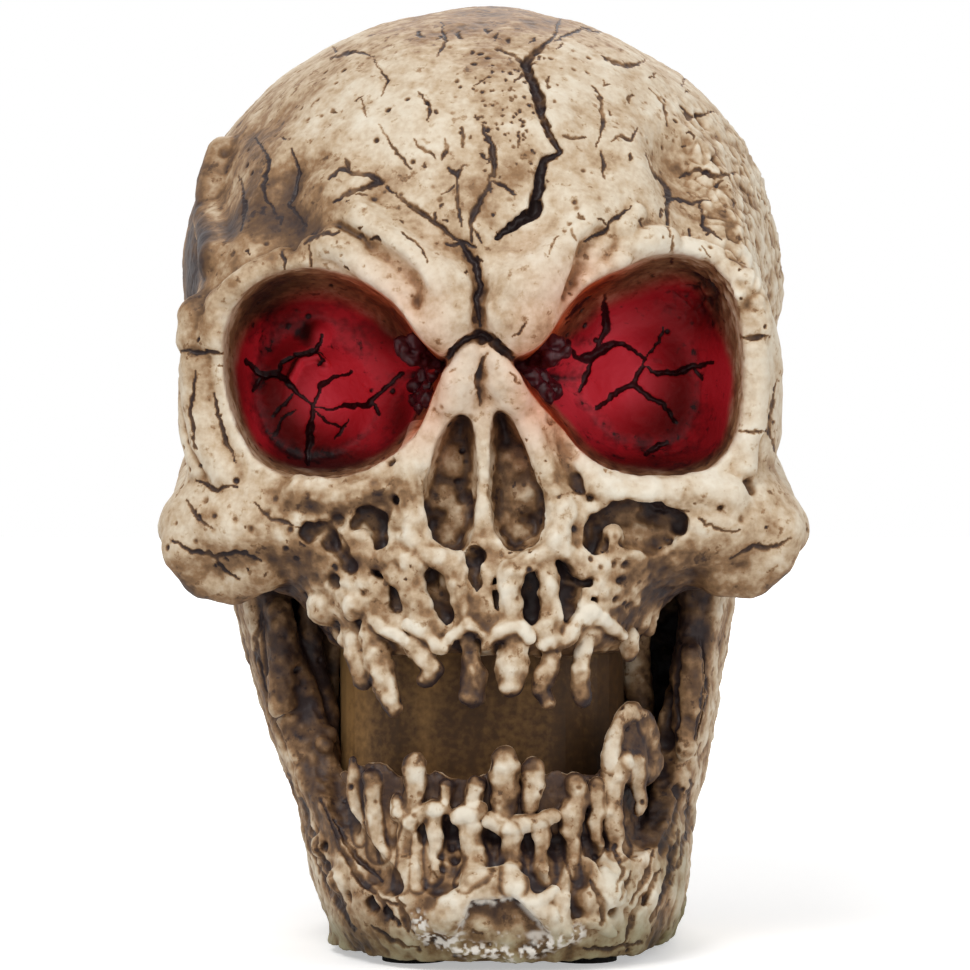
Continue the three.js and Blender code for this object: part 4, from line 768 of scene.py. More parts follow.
def seat_column(c, top):
    """Clears the space of the throat column up to a height."""
    x, y, z = c.axes(c.everywhere())
    c.d = np.maximum(c.d, -np.maximum(column_distance(x, y), z - top))


# Crowns and pegs of the lower row: picture points and radii. Then the lump behind the right-hand pegs.
LOWER_CROWNS = [
    ("398,808 409,822 422,812", (1.2, 1.9, 1.3)),
    ("429,808 436,809 444,807", (1.5, 1.7, 1.3)),
    ("457,816 466,813 479,809", (1.6, 2.2, 1.5)),
    ("491,820 505,827 530,824 553,818", (1.5, 1.9, 1.7, 1.5)),
]
LOWER_PEGS = [
    ("354,760 355,800 359,840", (1.2, 1.5, 1.5)),
    ("372,780 373,802 376,830 378,852", (2.2, 1.8, 1.8, 2.3)),
    ("413,764 415,785 413,806", (2.3, 2.1, 1.9)),
    ("395,798 398,812", (0.9, 1.2)),
    ("409,822 403,850 402,885", (1.8, 1.4, 1.9)),
    ("417,838 417,885", (1.3, 1.8)),
    ("447,784 446,800", (1.5, 1.2)),
    ("475,784 471,802", (1.7, 1.5)),
    ("435,809 435,835 432,876", (1.8, 1.8, 2.2)),
    ("466,815 472,842 478,868 464,884", (2.2, 2.4, 2.7, 2.2)),
    ("504,760 505,785 503,812", (2.4, 2.8, 2.1)),
    ("534,768 532,788 530,808", (2.0, 1.8, 1.5)),
    ("510,830 512,856 514,884", (2.1, 2.2, 3.0)),
    ("541,828 542,855 545,874", (2.0, 2.3, 2.5)),
    ("577,782 579,800 571,818 570,838 572,858", (2.1, 2.0, 2.4, 2.2, 1.5)),
    ("597,786 595,822 597,852", (1.7, 1.5, 1.3)),
    ("622,764 612,776 612,800 613,824 618,850", (1.8, 2.1, 1.9, 1.9, 2.3)),
    ("622,764 636,760 640,790 641,815", (1.8, 1.7, 1.4, 1.4)),
    ("644,716 650,740 654,764 656,800", (1.5, 1.7, 1.7, 1.8)),
    ("572,858 576,876", (1.3, 1.2)),
    ("612,776 611,748 619,722 632,710 644,716", (1.6, 1.4, 1.6, 1.9, 1.5)),
]
LOWER_BACKING = ["619,770 621,744 630,726", "632,770 634,730", "646,772 643,728"]
BACKING_RADIUS = 2.7

# Upright rods between the throat and the branches: picture points, depth and radius.
THROAT_RODS = [
    ("307,580 310,622 313,650 319,680 326,706 332,738 338,770", -44.0, 2.3),
    ("331,576 332,606 336,700 341,770", -37.0, 3.3),
    ("634,576 635,606 638,680 641,750", -38.0, 2.9),
]

# Ridges and seams of the upright branches, and the knobs at the foot of the left one.
BRANCHES = [
    (GROOVE, "256,604 262,650 266,705 282,748", (1.5, 1.6, 1.4, 1.0), 0.3, 1.2),
    (RIDGE, "280,612 284,660 281,706", (2.6, 3.0, 2.6), 0.6, 1.5),
    (GROOVE, "268,671 284,674 300,669", 0.8, 0.1, 0.6),
    (GROOVE, "266,712 284,716 302,708", 0.9, 0.1, 0.6),
    (GROOVE, "226,612 240,660 250,700 262,736", 0.9, 0.1, 0.9),
    (GROOVE, "286,756 300,800 318,838", (0.8, 1.1, 0.9), 0.1, 1.0),
    (GROOVE, "672,632 668,690 666,752", (1.4, 1.6, 1.4), 0.3, 1.2),
    (RIDGE, "690,655 692,695 684,748", (2.8, 3.2, 2.6), 0.6, 1.5),
    (GROOVE, "706,612 704,660 698,720 692,770", 1.0, 0.1, 0.9),
    (GROOVE, "688,765 682,810 664,850", 1.0, 0.1, 0.9),
]
BRANCH_KNOBS = [
    (325, 745, 1.6, 0), (331, 735, 1.5, 0), (341, 738, 1.5, 0), (346, 750, 1.6, 0), (338, 760, 1.5, 0),
]

# Grooves between the row of roots and the outer band, grooves between the roots, and the swells of the chin.
CHIN_SWELLS = [
    (GROOVE, "338,770 340,800 350,838 370,868 394,884", (2.4, 3.2, 3.2, 3.4, 2.2), 1.0, 1.5),
    (GROOVE, "664,742 664,790 648,832 630,848", (2.6, 3.0, 2.8, 2.0), 1.0, 1.5),
    (GROOVE, "596,856 606,868", (2.2, 2.0), 0.8, 1.2),
    (GROOVE, "452,830 452,872", 1.9, 0.2, 0.8),
    (GROOVE, "494,836 494,876", 1.7, 0.2, 0.8),
    (GROOVE, "527,838 530,868", 1.5, 0.2, 0.8),
    (GROOVE, "557,840 558,884", 1.9, 0.2, 0.8),
    (GROOVE, "424,830 426,884", 1.3, 0.2, 0.8),
    (GROOVE, "579,866 578,912", 2.0, 0.2, 0.8),
    (GROOVE, "440,884 458,892", 2.4, 0.2, 0.8),
    (GROOVE, "528,878 540,886", 2.4, 0.2, 0.8),
    (GROOVE, "552,904 558,922", 1.6, 0.2, 0.8),
    (RIDGE, "474,886 498,882 520,886", (2.4, 2.8, 2.4), 0.4, 1.4),
    (RIDGE, "424,922 446,916 466,900", (2.6, 3.4, 2.6), 1.0, 1.4),
    (RIDGE, "524,898 544,914 560,934", (2.2, 2.6, 2.0), 0.6, 1.2),
]

# The broken chin: outline of the chip, its hollow, and the beads along its rim.
CHIP = drawn("471,902 516,897 552,937 524,949 482,950 452,943")
CHIP_HOLLOW = {"rim": -85, "depth": 4.6, "round_off": 0.9, "power": 7.0, "blend": 0.3}
CHIN_KNOBS = [
    (586, 899, 2.4, 0.6), (614, 893, 2.6, 0.8), (602, 878, 2.0, 0.4), (340, 880, 2.4, 0.6),
    (322, 846, 2.2, 0.6),
]
JAW_PITS = [
    (680, 792, 1.8, 0.2), (325, 848, 1.2, 0), (372, 905, 1.8, 0.4), (648, 900, 1.2, 0),
    (628, 912, 1.1, 0), (612, 912, 1.4, 0.2), (300, 760, 1.0, 0), (690, 720, 1.0, 0),
    (347, 897, 1.4, 0.2), (455, 860, 1.2, 0), (444, 868, 1.1, 0), (460, 845, 0.9, 0), (452, 848, 0.9, 0),
    (440, 856, 0.9, 0), (388, 915, 1.2, 0.2),
]
CHIN_RIM = [
    (RIDGE, "456,946 478,953 500,951 522,955 550,943 576,932", (1.0, 1.3, 0.9, 1.3, 1.1, 0.9), -0.1, 0.6),
    (RIDGE, "478,926 500,930 522,924", (0.5, 0.8, 0.5), 0.2, 0.5),
    (RIDGE, "500,908 506,924 516,934", (0.5, 0.7, 0.5), 0.2, 0.5),
    (RIDGE, "543,898 552,892 560,910 568,932", 1.1, -0.3, 0.6),
    (RIDGE, "577,922 596,922 614,934", (0.8, 1.2, 0.7), -0.5, 0.5),
    (KNOBS, CHIN_KNOBS, 1.5),
    (PITS, JAW_PITS, 0.6),
]


def lower_teeth(c):
    """Roots and pegs of the lower row, half sunk in the dark gum in front of the throat."""
    for spots, radii in LOWER_PEGS:
        c.root(spots, radii, LOWER_ARCH, sink=1.9, blend=1.0)
    for spots, radii in LOWER_CROWNS:
        c.root(spots, radii, LOWER_ARCH, sink=0.8, blend=0.7)
    for spots in LOWER_BACKING:
        c.root(spots, BACKING_RADIUS, LOWER_ARCH, sink=4.4, blend=1.6)


def branches(c):
    """Upright branches with the rods inside them."""
    model(c, BRANCHES)
    for line, y, radius in THROAT_RODS:
        spots = drawn(line)
        x, z = seen(spots[:, 0], spots[:, 1], y)
        c.chain(np.stack([x, 0 * x + y, z], 1), radius, blend=1.5)
    c.knobs(BRANCH_KNOBS, blend=0.8)


def chin(c):
    """Swells and grooves of the chin, then the chip out of it, its corners tripled to stay sharp."""
    model(c, CHIN_SWELLS)
    c.read_front()
    c.bowl(np.repeat(CHIP, 3, axis=0), **CHIP_HOLLOW)
    c.read_front()
    model(c, CHIN_RIM)


def jaw():
    """The whole jaw, cleared for the throat column and cut level at its foot."""
    c = jaw_shell(2 * GRID)
    settle_lumps(c, tall=0.6)
    c = c.finer()
    c.read_front()
    lower_teeth(c)
    c.read_front()
    branches(c)
    chin(c)
    x, y, z = c.axes(c.everywhere())
    collar = np.maximum(column_distance(x, y) - COLLAR_WALL, np.maximum(JAW_FOOT - z, z - COLLAR_TOP))
    c.join(c.everywhere(), collar, blend=1.0)
    seat_column(c, PAST_JAW)
    c.d = np.maximum(c.d, JAW_FOOT - z)
    return c


# Skin of a casting

EDGES = [(p, q) for p in range(8) for q in range(p + 1, 8) if np.abs(CORNERS[p] - CORNERS[q]).sum() == 1]


def skin(c):
    """Points and four-sided faces of the zero level.

    A point lies in each mixed grid cell, at the mean of its edge crossings, and a face goes round every
    grid edge whose ends lie on opposite sides.
    """
    inside = c.d < 0
    n = c.count - 1
    total = np.zeros(n, np.int8)
    for a, b, e in CORNERS:
        total += inside[a:a + n[0], b:b + n[1], e:e + n[2]]
    i, j, k = np.nonzero((total > 0) & (total < 8))
    number = np.full(n, -1, np.int32)
    number[i, j, k] = np.arange(len(i))
    values = np.stack([c.d[i + a, j + b, k + e] for a, b, e in CORNERS], 1)
    place = np.zeros((len(i), 3), np.float32)
    hits = np.zeros(len(i), np.float32)
    for p, q in EDGES:
        cross = (values[:, p] < 0) != (values[:, q] < 0)
        t = values[:, p] / np.where(cross, values[:, p] - values[:, q], 1)
        place += cross[:, None] * (CORNERS[p] + t[:, None] * (CORNERS[q] - CORNERS[p]))
        hits += cross
    points = c.low + c.step * (np.stack([i, j, k], 1) + place / hits[:, None])
    faces = []
    for axis in range(3):
        u, w = (axis + 1) % 3, (axis + 2) % 3
        low = [slice(1, -1)] * 3
        high = [slice(1, -1)] * 3
        low[axis], high[axis] = slice(0, -1), slice(1, None)
        spot = np.stack(np.nonzero(inside[tuple(low)] != inside[tuple(high)]), 1)
        spot[:, u] += 1
        spot[:, w] += 1
        leaving = inside[spot[:, 0], spot[:, 1], spot[:, 2]]
        ring = []
        for du, dw in ((-1, -1), (0, -1), (0, 0), (-1, 0)):
            cell = spot.copy()
            cell[:, u] += du
            cell[:, w] += dw
            ring.append(number[cell[:, 0], cell[:, 1], cell[:, 2]])
        quad = np.stack(ring, 1)
        quad[~leaving] = quad[~leaving][:, ::-1]
        faces.append(quad)
    return points, np.concatenate(faces)


# The furthest that a new point is drawn onto the skin.
DRAW_IN = 0.3


def quarter(c, points, faces, chosen):
    """Quarters chosen faces: new points midway along their edges and at their middles, drawn onto the skin.

    A face left whole takes its neighbours' new points into its own outline, so no seam opens. Each face
    comes back as a ring of eight places, its corners at the even ones and -1 where there is no point.
    """
    ring = np.full((len(faces), 8), -1, np.int64)
    ring[:, 0::2] = faces
    if not chosen.any():
        return points, ring
    ahead = np.roll(faces, -1, axis=1)
    key = np.minimum(faces, ahead).astype(np.int64) * len(points) + np.maximum(faces, ahead)
    edge = np.unique(key[chosen])
    halfway = 0.5 * (points[edge // len(points)] + points[edge % len(points)])
    fresh = np.concatenate([halfway, points[faces[chosen]].mean(1)])
    fresh = fresh - np.clip(sample(c.d, c, fresh), -DRAW_IN, DRAW_IN)[:, None] * slopes(c, fresh)
    place = np.minimum(np.searchsorted(edge, key), len(edge) - 1)
    ring[:, 1::2] = np.where(edge[place] == key, len(points) + place, -1)
    split = ring[chosen]
    heart = len(points) + len(edge) + np.arange(len(split))
    small = np.full((4, len(split), 8), -1, np.int64)
    for i in range(4):
        small[i, :, 0::2] = np.stack([split[:, 2 * i], split[:, 2 * i + 1], heart, split[:, 2 * i - 1]], 1)
    return np.concatenate([points, fresh]), np.concatenate([ring[~chosen], small.reshape(-1, 8)])


def sample(grid, c, points):
    """Values of a grid at points, blended between the eight samples round each."""
    p = (points - c.low) / c.step
    base = np.clip(np.floor(p).astype(int), 0, np.array(grid.shape) - 2)
    f = (p - base).astype(np.float32)
    total = np.zeros(len(points), np.float32)
    for a, b, e in CORNERS:
        total += corner_share(f, a, b, e) * grid[base[:, 0] + a, base[:, 1] + b, base[:, 2] + e]
    return total


def slopes(c, points):
    """Outward unit normals: the change of distance across most of a grid step each way."""
    h = 0.8 * c.step
    out = np.stack([sample(c.d, c, points + h * e) - sample(c.d, c, points - h * e) for e in np.eye(3)], 1)
    return out / np.maximum(np.linalg.norm(out, axis=1, keepdims=True), 1e-6)


def mesh_normals(points, faces):
    """Outward unit normals of a skin: the crossed diagonals of the faces round each point, added up."""
    corner = points[faces]
    cross = np.cross(corner[:, 2] - corner[:, 0], corner[:, 3] - corner[:, 1])
    ways = np.repeat(cross, 4, axis=0).T
    total = np.stack([np.bincount(faces.ravel(), way, len(points)) for way in ways], 1)
    return total / np.maximum(np.linalg.norm(total, axis=1, keepdims=True), 1e-9)


def fullness(c, radius):
    """Share of resin within about a radius of each sample: inside marks averaged along each axis twice."""
    grid = np.clip(0.5 - c.d / c.step, 0, 1).astype(np.float32)
    n = max(1, int(round(radius / c.step / 1.5)))
    for axis in (0, 1, 2, 0, 1, 2):
        pad = [(0, 0)] * 3
        pad[axis] = (n + 1, n)
        run = np.cumsum(np.pad(grid, pad, mode="edge"), axis=axis, dtype=np.float32)
        grid = (run[cut(axis, 2 * n + 1, None)] - run[cut(axis, 0, -2 * n - 1)]) / (2 * n + 1)
    return grid


# Paint in marks on the points

LAMPS = np.array([(-14.1, -58.8, 122.0), (14.1, -58.8, 122.0)])

# How strongly each lamp's light, painted on, reddens the bone round its socket, and how far back a socket's
# inside goes.
PAINTED_SPILL_STRENGTH = (0.8, 1.1)
SOCKET_BACK = -30

# Picture heights over which a socket's foot, its roof and the light painted on its floor change.
SOCKET_FOOT = (420, 460)
SOCKET_ROOF = (380, 300)
SOCKET_FLOOR = (440, 470)

# Patches of painted shade and of painted light inside the sockets: picture middle, two reaches and amount.
SOCKET_PAINTED_SHADE_SPOTS = [
    (398, 328, 36, 30, 0.85), (262, 302, 60, 26, 0.8), (705, 312, 34, 36, 0.75), (575, 316, 22, 22, 0.6),
    (322, 468, 90, 26, 0.9), (712, 440, 26, 40, 0.4), (236, 400, 14, 60, 0.6), (402, 420, 22, 44, 0.75),
    (650, 470, 70, 14, 0.5), (552, 396, 14, 20, 0.3),
]
SOCKET_PAINTED_LIGHT_SPOTS = [(302, 404, 42, 44, 0.4), (640, 380, 62, 44, 0.3)]

# Brown wash with painted shade and painted highlight on the face and the jaw: picture middle, two reaches
# and how much browner or paler.
FACE_WASH_AND_PAINTED_SHADE = [
    (470, 20, 120, 34, 0.33), (285, 215, 46, 40, 0.32), (275, 160, 36, 30, 0.12),
    (192, 250, 20, 110, 0.44), (705, 170, 46, 80, 0.02), (235, 530, 80, 40, 0.12),
    (730, 540, 70, 36, 0.02), (355, 575, 50, 60, 0.06), (632, 575, 36, 60, 0.10), (300, 90, 60, 40, 0.06),
    (345, 185, 40, 20, 0.06), (410, 262, 40, 36, -0.15), (540, 250, 50, 50, -0.10),
    (430, 180, 50, 34, 0.06), (516, 170, 36, 50, 0.05), (600, 150, 50, 70, -0.05),
    (400, 470, 24, 50, 0.08), (570, 470, 24, 50, 0.10), (650, 62, 50, 24, 0.08), (505, 110, 36, 50, 0.05),
    (500, 190, 30, 40, 0.07), (400, 275, 20, 14, 0.10), (438, 348, 15, 9, 0.24), (524, 351, 20, 8, 0.22),
    (542, 336, 9, 12, 0.12), (414, 300, 14, 18, 0.14), (484, 380, 30, 26, -0.14),
    (700, 252, 50, 18, -0.27), (770, 380, 18, 90, -0.08), (300, 500, 60, 26, 0.06),
    (217, 195, 13, 55, -0.26), (262, 226, 34, 22, 0.12),
]
JAW_WASH_AND_PAINTED_SHADE = [
    (262, 680, 40, 90, 0.22), (695, 690, 26, 90, 0.04), (345, 870, 50, 60, -0.04),
    (480, 830, 130, 60, 0.02), (640, 890, 50, 60, -0.24), (500, 915, 90, 40, 0.24),
    (634, 738, 16, 22, 0.2), (500, 865, 110, 16, 0.04),
]

# Cracks drawn over the face, inside the sockets and over the jaw: picture points, and half the width of each
# in picture units.
FACE_CRACKS = [
    (SPLIT_ABOVE, (3.4, 4, 7, 8, 6, 6)),
    (SPLIT_BELOW, (6, 7, 7.4, 8, 8, 6)),
    ("526,62 510,52 496,50", 3.4),
    ("387,186 405,202 427,217 447,231 458,241 473,247", 4.2),
    ("330,178 340,168 350,172 375,176 381,182 362,188 345,195 334,203", 5.0),
    ("346,159 350,170", 4.0),
    ("379,125 390,142 402,157 413,169", 2.8),
    ("413,140 418,147 430,153 437,159", 3.0),
    ("443,139 447,147 443,160", 3.4),
    ("449,166 457,176 465,166", 3.4),
    ("457,178 457,205 462,226", 2.8),
    ("463,127 463,147", 3.6),
    ("482,127 492,145 495,163 490,185", 4.6),
    ("490,185 480,200 470,222 471,242", 4.6),
    ("494,182 516,193", 3.0),
    ("446,243 461,245 474,261 477,272 481,289 477,297 480,326", 5.0),
    ("594,84 603,105 603,118 597,145", 3.0),
    ("612,142 621,135 630,139 639,129", 3.2),
    ("562,135 585,138", 3.2),
    ("602,151 604,179", 3.4),
    ("647,155 656,175 667,188 668,212 669,236", 4.0),
    ("585,240 605,232 612,222 632,205", 3.2),
    ("590,296 566,318", 2.4),
    ("488,354 480,366 478,380 480,406", 4.4),
    ("283,250 284,272", 2.6),
    ("310,246 311,270", 2.6),
    ("180,352 224,352", 3.6),
    ("740,337 770,337", 3.6),
    ("738,431 768,431", 3.2),
    ("305,245 318,235 340,233", 3.6),
    ("672,236 672,262", 3.4),
    ("172,540 190,552 215,556 244,552 262,560", 4.0),
    ("215,556 225,572 240,580", 3.4),
    ("186,500 200,520 212,528", 3.4),
    ("730,560 752,545 775,548 792,538", 3.4),
    ("700,520 722,532 740,530", 3.4),
    ("330,60 352,52 372,56", 2.4),
    ("372,60 388,78 384,96", 2.2),
    ("603,56 622,66 646,60", 3.4),
    ("556,40 580,30 604,32", 2.4),
    ("440,22 446,40 438,56", 2.2),
    ("650,90 664,104 668,126", 3.0),
    ("680,106 690,118 712,112", 3.2),
    ("680,176 700,168 716,178 736,172", 3.4),
    ("664,196 690,204 712,200", 3.0),
    ("700,204 704,226 722,240", 3.2),
    ("256,140 270,160 262,186 276,214", 3.2),
    ("292,150 300,176 290,204 306,226", 3.0),
    ("238,176 246,204 240,230", 3.0),
    ("420,92 432,108 428,122", 2.2),
    ("360,100 366,118", 2.0),
    ("196,372 190,410 196,448", 3.4),
    ("214,392 222,430 236,462", 3.2),
    ("776,380 770,420 774,452", 3.2),
    ("196,480 214,488 236,486", 3.4),
    ("256,502 272,520 300,526", 3.0),
    ("640,500 662,512 690,510", 3.0),
    ("528,318 520,332 512,336", 2.4),
    ("456,366 450,374", 2.2),
    ("512,372 520,384", 2.2),
    # These two also darken the crease under the brow lobes, as painted shade.
    ("444,361 453,350 461,343 471,338 481,336", 6.0),
    ("481,336 491,338 500,347 509,355 519,362", 6.0),
    ("402,232 420,246 428,262", 2.0),
    ("556,236 548,256", 2.0),
]
SOCKET_CRACKS = [
    ("312,404 296,392 280,374 262,376 246,362", 5.0),
    ("312,404 322,388 334,378 351,373", 4.4),
    ("312,404 330,410 350,406 368,404 384,388 403,372", 4.4),
    ("312,404 311,425 309,445 308,462", 5.4),
    ("290,394 286,404 272,416", 4.2),
    ("278,378 282,364 296,354 318,350 322,334", 4.2),
    ("318,350 326,360 318,366", 3.4),
    ("314,410 330,424 346,428", 3.0),
    ("296,410 282,420 276,436", 2.6),
    ("262,376 252,390", 3.0),
    ("372,402 380,414", 2.6),
    ("334,440 350,420", 2.4),
    ("567,342 576,360 592,356 608,345 624,344 634,352 646,358", 6.0),
    ("605,294 607,330 596,350", 5.0),
    ("641,364 656,374 674,372 690,368 714,362", 5.0),
    ("598,408 612,396 634,384 650,398 662,404 676,422", 5.4),
    ("646,358 640,370 634,384", 4.0),
    ("592,356 586,378 580,390", 3.6),
    ("645,456 656,446 666,442", 4.0),
    ("646,356 660,340 664,326", 2.8),
    ("690,368 704,378", 2.6),
]
JAW_CRACKS = [
    ("322,800 340,850 372,890 400,925", 6.0),
    ("300,800 318,850 345,905", 6.0),
    ("352,872 380,900 404,905", 5.0),
    ("660,870 640,905 622,945", 5.5),
    ("678,830 668,880 650,920", 6.0),
    ("590,880 604,905 600,925", 5.0),
    ("398,896 410,930", 4.6),
    ("632,870 622,900", 5.0),
    ("284,770 298,806 312,850", 4.6),
    ("312,850 330,890 356,930", 4.6),
    ("334,820 356,858 384,880", 4.6),
    ("244,640 252,690 268,740", 4.0),
    ("262,612 258,650 266,690", 4.6),
    ("700,640 706,690 696,740", 4.0),
    ("680,640 676,690 678,740", 4.0),
    ("690,780 688,830 676,870", 4.6),
    ("654,850 646,880 630,905", 4.6),
    ("612,850 624,870 616,890", 4.0),
    ("372,925 392,942 420,948", 4.0),
    ("640,940 612,950 584,948", 4.0),
]

# Chalky broken rim of the chin, the sides of the chip and the pale bone beside it.
CHALK_RIM = "418,918 426,936 446,942 468,950 500,952 530,953 556,942 578,932"
CHIP_SIDES = np.concatenate([CHIP[-1:], CHIP[:3]])
PALE_SIDES = ["440,920 470,898", "520,896 556,932"]

# Brown wash in hollows: radius looked round, and strength.
WASH_REACHES = ((0.9, 0.9), (2.0, 1.3), (5.0, 0.9), (10.0, 0.5))
WASH_PLAIN = 0.31

# Where stray cracks and specks are strewn in the picture: two corners, or a middle and its spreads.
CRACKED_AREA = ((240, 18), (740, 270))
SPLIT_SPECKS = ((507, 108), (24, 34))
SPECKED_AREA = ((190, 230), (780, 580))

# Places of the cranium where paint fades in, each from none to full: temples, mouth, cheeks and teeth; under
# the cheeks and behind the teeth it is painted shade.
TEMPLE_SIDE = (34, 46)
TEMPLE_FOOT = (124, 136)
TEMPLE_TOP = (182, 166)
TEMPLE_BACK = (30, -10)
MOUTH_TOP = (104, 90)
MOUTH_BACK = (-30, -55)
MOUTH_SIDE = (46, 36)
UNDER_CHEEK = (104, 92)
BEHIND_TEETH = (-64, -50)
UNDER_GUM = (84, 74)
PEG_TOP = (63, 60)
LIP_FRONT = (-66, -72)

# The same for the jaw: its inside, painted in shade, lower teeth, moss and chin. The side of the moss is in
# picture units.
JAW_INSIDE = (3, 8)
JAW_BEHIND = (-70, -58)
PEG_FRONT = (-58, -64)
PEG_FOOT = (12, 16)
TIP_FOOT = (30, 36)
GUM_HEIGHT = (27, 33)
CROWN_FRONT = (-64, -70)
MOSS_FOOT = (14, 3)
MOSS_SIDE = (570, 680)
MOSS_TOP = (44, 20)
CHIN_FRONT = (-66, -72)


def stray_cracks():
    """Short cracks strewn over the forehead, specks beside the split and over the face, always the same."""
    chance = np.random.default_rng(5)
    strokes = []
    for _ in range(70):
        spot = chance.uniform(*CRACKED_AREA)
        way = chance.uniform(0, np.pi)
        reach = chance.uniform(1, 7) * np.array([np.cos(way), np.sin(way)])
        bend = spot + chance.uniform(-4, 4, 2)
        strokes.append(([spot - reach, bend, spot + reach], chance.uniform(1.6, 3.2)))
    for _ in range(90):
        spot = chance.normal(*SPLIT_SPECKS)
        strokes.append(([spot, spot + (1.0, 1.0)], chance.uniform(1.8, 3.6)))
    for _ in range(70):
        spot = chance.uniform(*SPECKED_AREA)
        strokes.append(([spot, spot + chance.uniform(-3, 3, 2)], chance.uniform(1.8, 3.2)))
    return strokes


def in_picture(points):
    """Picture points of points: the line of sight back to the picture."""
    reach = FOCAL / (points[:, 1] - EYE[1])
    return PICTURE / 2 + (points[:, 0] - EYE[0]) * reach, PICTURE / 2 - (points[:, 2] - EYE[2]) * reach


def link_distance(u, v, p, q):
    """The spot of the link from p to q nearest each picture point: its share along, and how far it is."""
    e = q - p
    t = np.clip(((u - p[0]) * e[0] + (v - p[1]) * e[1]) / max(float(e @ e), 1e-9), 0, 1)
    return t, np.hypot(u - p[0] - t * e[0], v - p[1] - t * e[1])


def stroke_distance(u, v, strokes):
    """Least distance, in picture units, to any of some drawn lines."""
    best = np.full(len(u), 1e9)
    for stroke in strokes:
        line = drawn(stroke)
        for p, q in zip(line[:-1], line[1:]):
            best = np.minimum(best, link_distance(u, v, p, q)[1])
    return best


def beside(u, v, line, reach):
    """Which picture points lie in the box round a line, widened by a reach."""
    low, high = line.min(0) - reach, line.max(0) + reach
    return np.nonzero((u > low[0]) & (u < high[0]) & (v > low[1]) & (v < high[1]))[0]


def scored(u, v, strokes):
    """Drawn cracks, each a V whose half width tapers to its ends: depth in millimetres, and darkness."""
    deep = np.zeros(len(u), np.float32)
    ink = np.zeros(len(u), np.float32)
    for spots, width in strokes:
        line, size, along = gnarled(spots, width, *SCORED_RUN)
        size = size * (0.28 + 0.57 * np.sin(np.pi * np.clip(along, 0.08, 0.92)))
        near = beside(u, v, line, size.max())
        a, b = u[near], v[near]
        for p, q, r, s in zip(line[:-1], line[1:], size[:-1], size[1:]):
            t, far = link_distance(a, b, p, q)
            half = r + t * (s - r)
            inner = np.clip(1 - far / half, 0, 1)
            deep[near] = np.maximum(deep[near], 0.2 * half * inner)
            ink[near] = np.maximum(ink[near], inner)
    return deep, smooth(0.0, 0.55, ink)


# Picture units to a millimetre, near the teeth.
PEG_SCALE = 5.1


def peg_marks(u, v, pegs):
    """The peg nearest each picture point: the share from its middle line to its edge, and along it."""
    out = np.full(len(u), 9.0, np.float32)
    along = np.zeros(len(u), np.float32)
    for spots, radii in pegs:
        line, size, share = gnarled(spots, np.multiply(radii, PEG_SCALE), *ROOT_RUN)
        near = beside(u, v, line, 3 * size.max())
        a, b = u[near], v[near]
        for p, q, r, s, m, n in zip(line[:-1], line[1:], size[:-1], size[1:], share[:-1], share[1:]):
            t, far = link_distance(a, b, p, q)
            far = far / (r + t * (s - r))
            better = far < out[near]
            out[near] = np.where(better, far, out[near])
            along[near] = np.where(better, m + t * (n - m), along[near])
    return out, along


def spots_of(u, v, spots):
    """Soft patches added up: each a middle, two reaches and an amount."""
    total = np.zeros(len(u), np.float32)
    for a, b, wide, tall, amount in spots:
        total += amount * np.exp(-((u - a) / wide) ** 2 - ((v - b) / tall) ** 2)
    return total


# How far behind the first skin met a point still counts as seen.
SKIN_DEPTH = 5


def ahead_share(c, points, normals):
    """1 for skin that is seen from the front, fading out as it turns away."""
    first = points[:, 1] < c.front_at(points[:, 0], points[:, 2]) + SKIN_DEPTH
    return first * smooth(0.05, -0.3, normals[:, 1])


def lamp_light(points, normals):
    """Lamp light painted on: how far a point is inside a socket, a red glow painted on by distance and
    slant, red light painted as spilt on the bone round about, and painted shade on the unlit roof of the
    socket."""
    u, v = in_picture(points)
    x, y, _ = points.T
    within = y < SOCKET_BACK
    foot = smooth(*SOCKET_FOOT, v)
    deepest = -14 - 22 * smooth(*SOCKET_ROOF, v)
    # The painted light fades down the socket's floor, with patches of painted shade and light.
    patch = (1 - 0.7 * smooth(*SOCKET_FLOOR, v)) * (1 - spots_of(u, v, SOCKET_PAINTED_SHADE_SPOTS))
    patch = patch + spots_of(u, v, SOCKET_PAINTED_LIGHT_SPOTS)
    off_nose = 0.3 + 0.7 * smooth(3, 9, np.abs(x))
    red, glow, spill, roof_painted_shade = (np.zeros(len(points), np.float32) for _ in range(4))
    for lamp, outline, spill_strength in zip(LAMPS, (LEFT_SOCKET, RIGHT_SOCKET), PAINTED_SPILL_STRENGTH):
        away = points - lamp
        far = np.linalg.norm(away, axis=1)
        facing = np.clip(-(away * normals).sum(1) / np.maximum(far, 1e-6), 0, 1)
        edge = outline_distance(u, v, rounded(outline))
        held = smooth(-2 + 3 * foot, deepest, edge) * smooth(-70 - 6 * foot, -62 - 6 * foot, y) * within
        # The share inside a socket, which takes the painted red lamp light.
        red += held
        # Painted shade on the roof of the socket, which the lamp's light doesn't reach.
        roof_painted_shade += (1 - held) * smooth(3, -10, edge) * smooth(-74, -66, y) * within
        # A red glow painted on the socket's inside, by distance from the lamp and slant to it.
        glow += held * patch * (0.06 + 0.94 * facing) / (1 + (far / 24) ** 2) * 2.0
        # Red lamp light painted as spilt on the bone round the socket, less on the nose.
        spill += spill_strength * smooth(31, 14, far) * (1 - held) * (0.6 + 0.4 * smooth(0.0, 0.5, facing)) * off_nose
    return red, glow, spill, roof_painted_shade


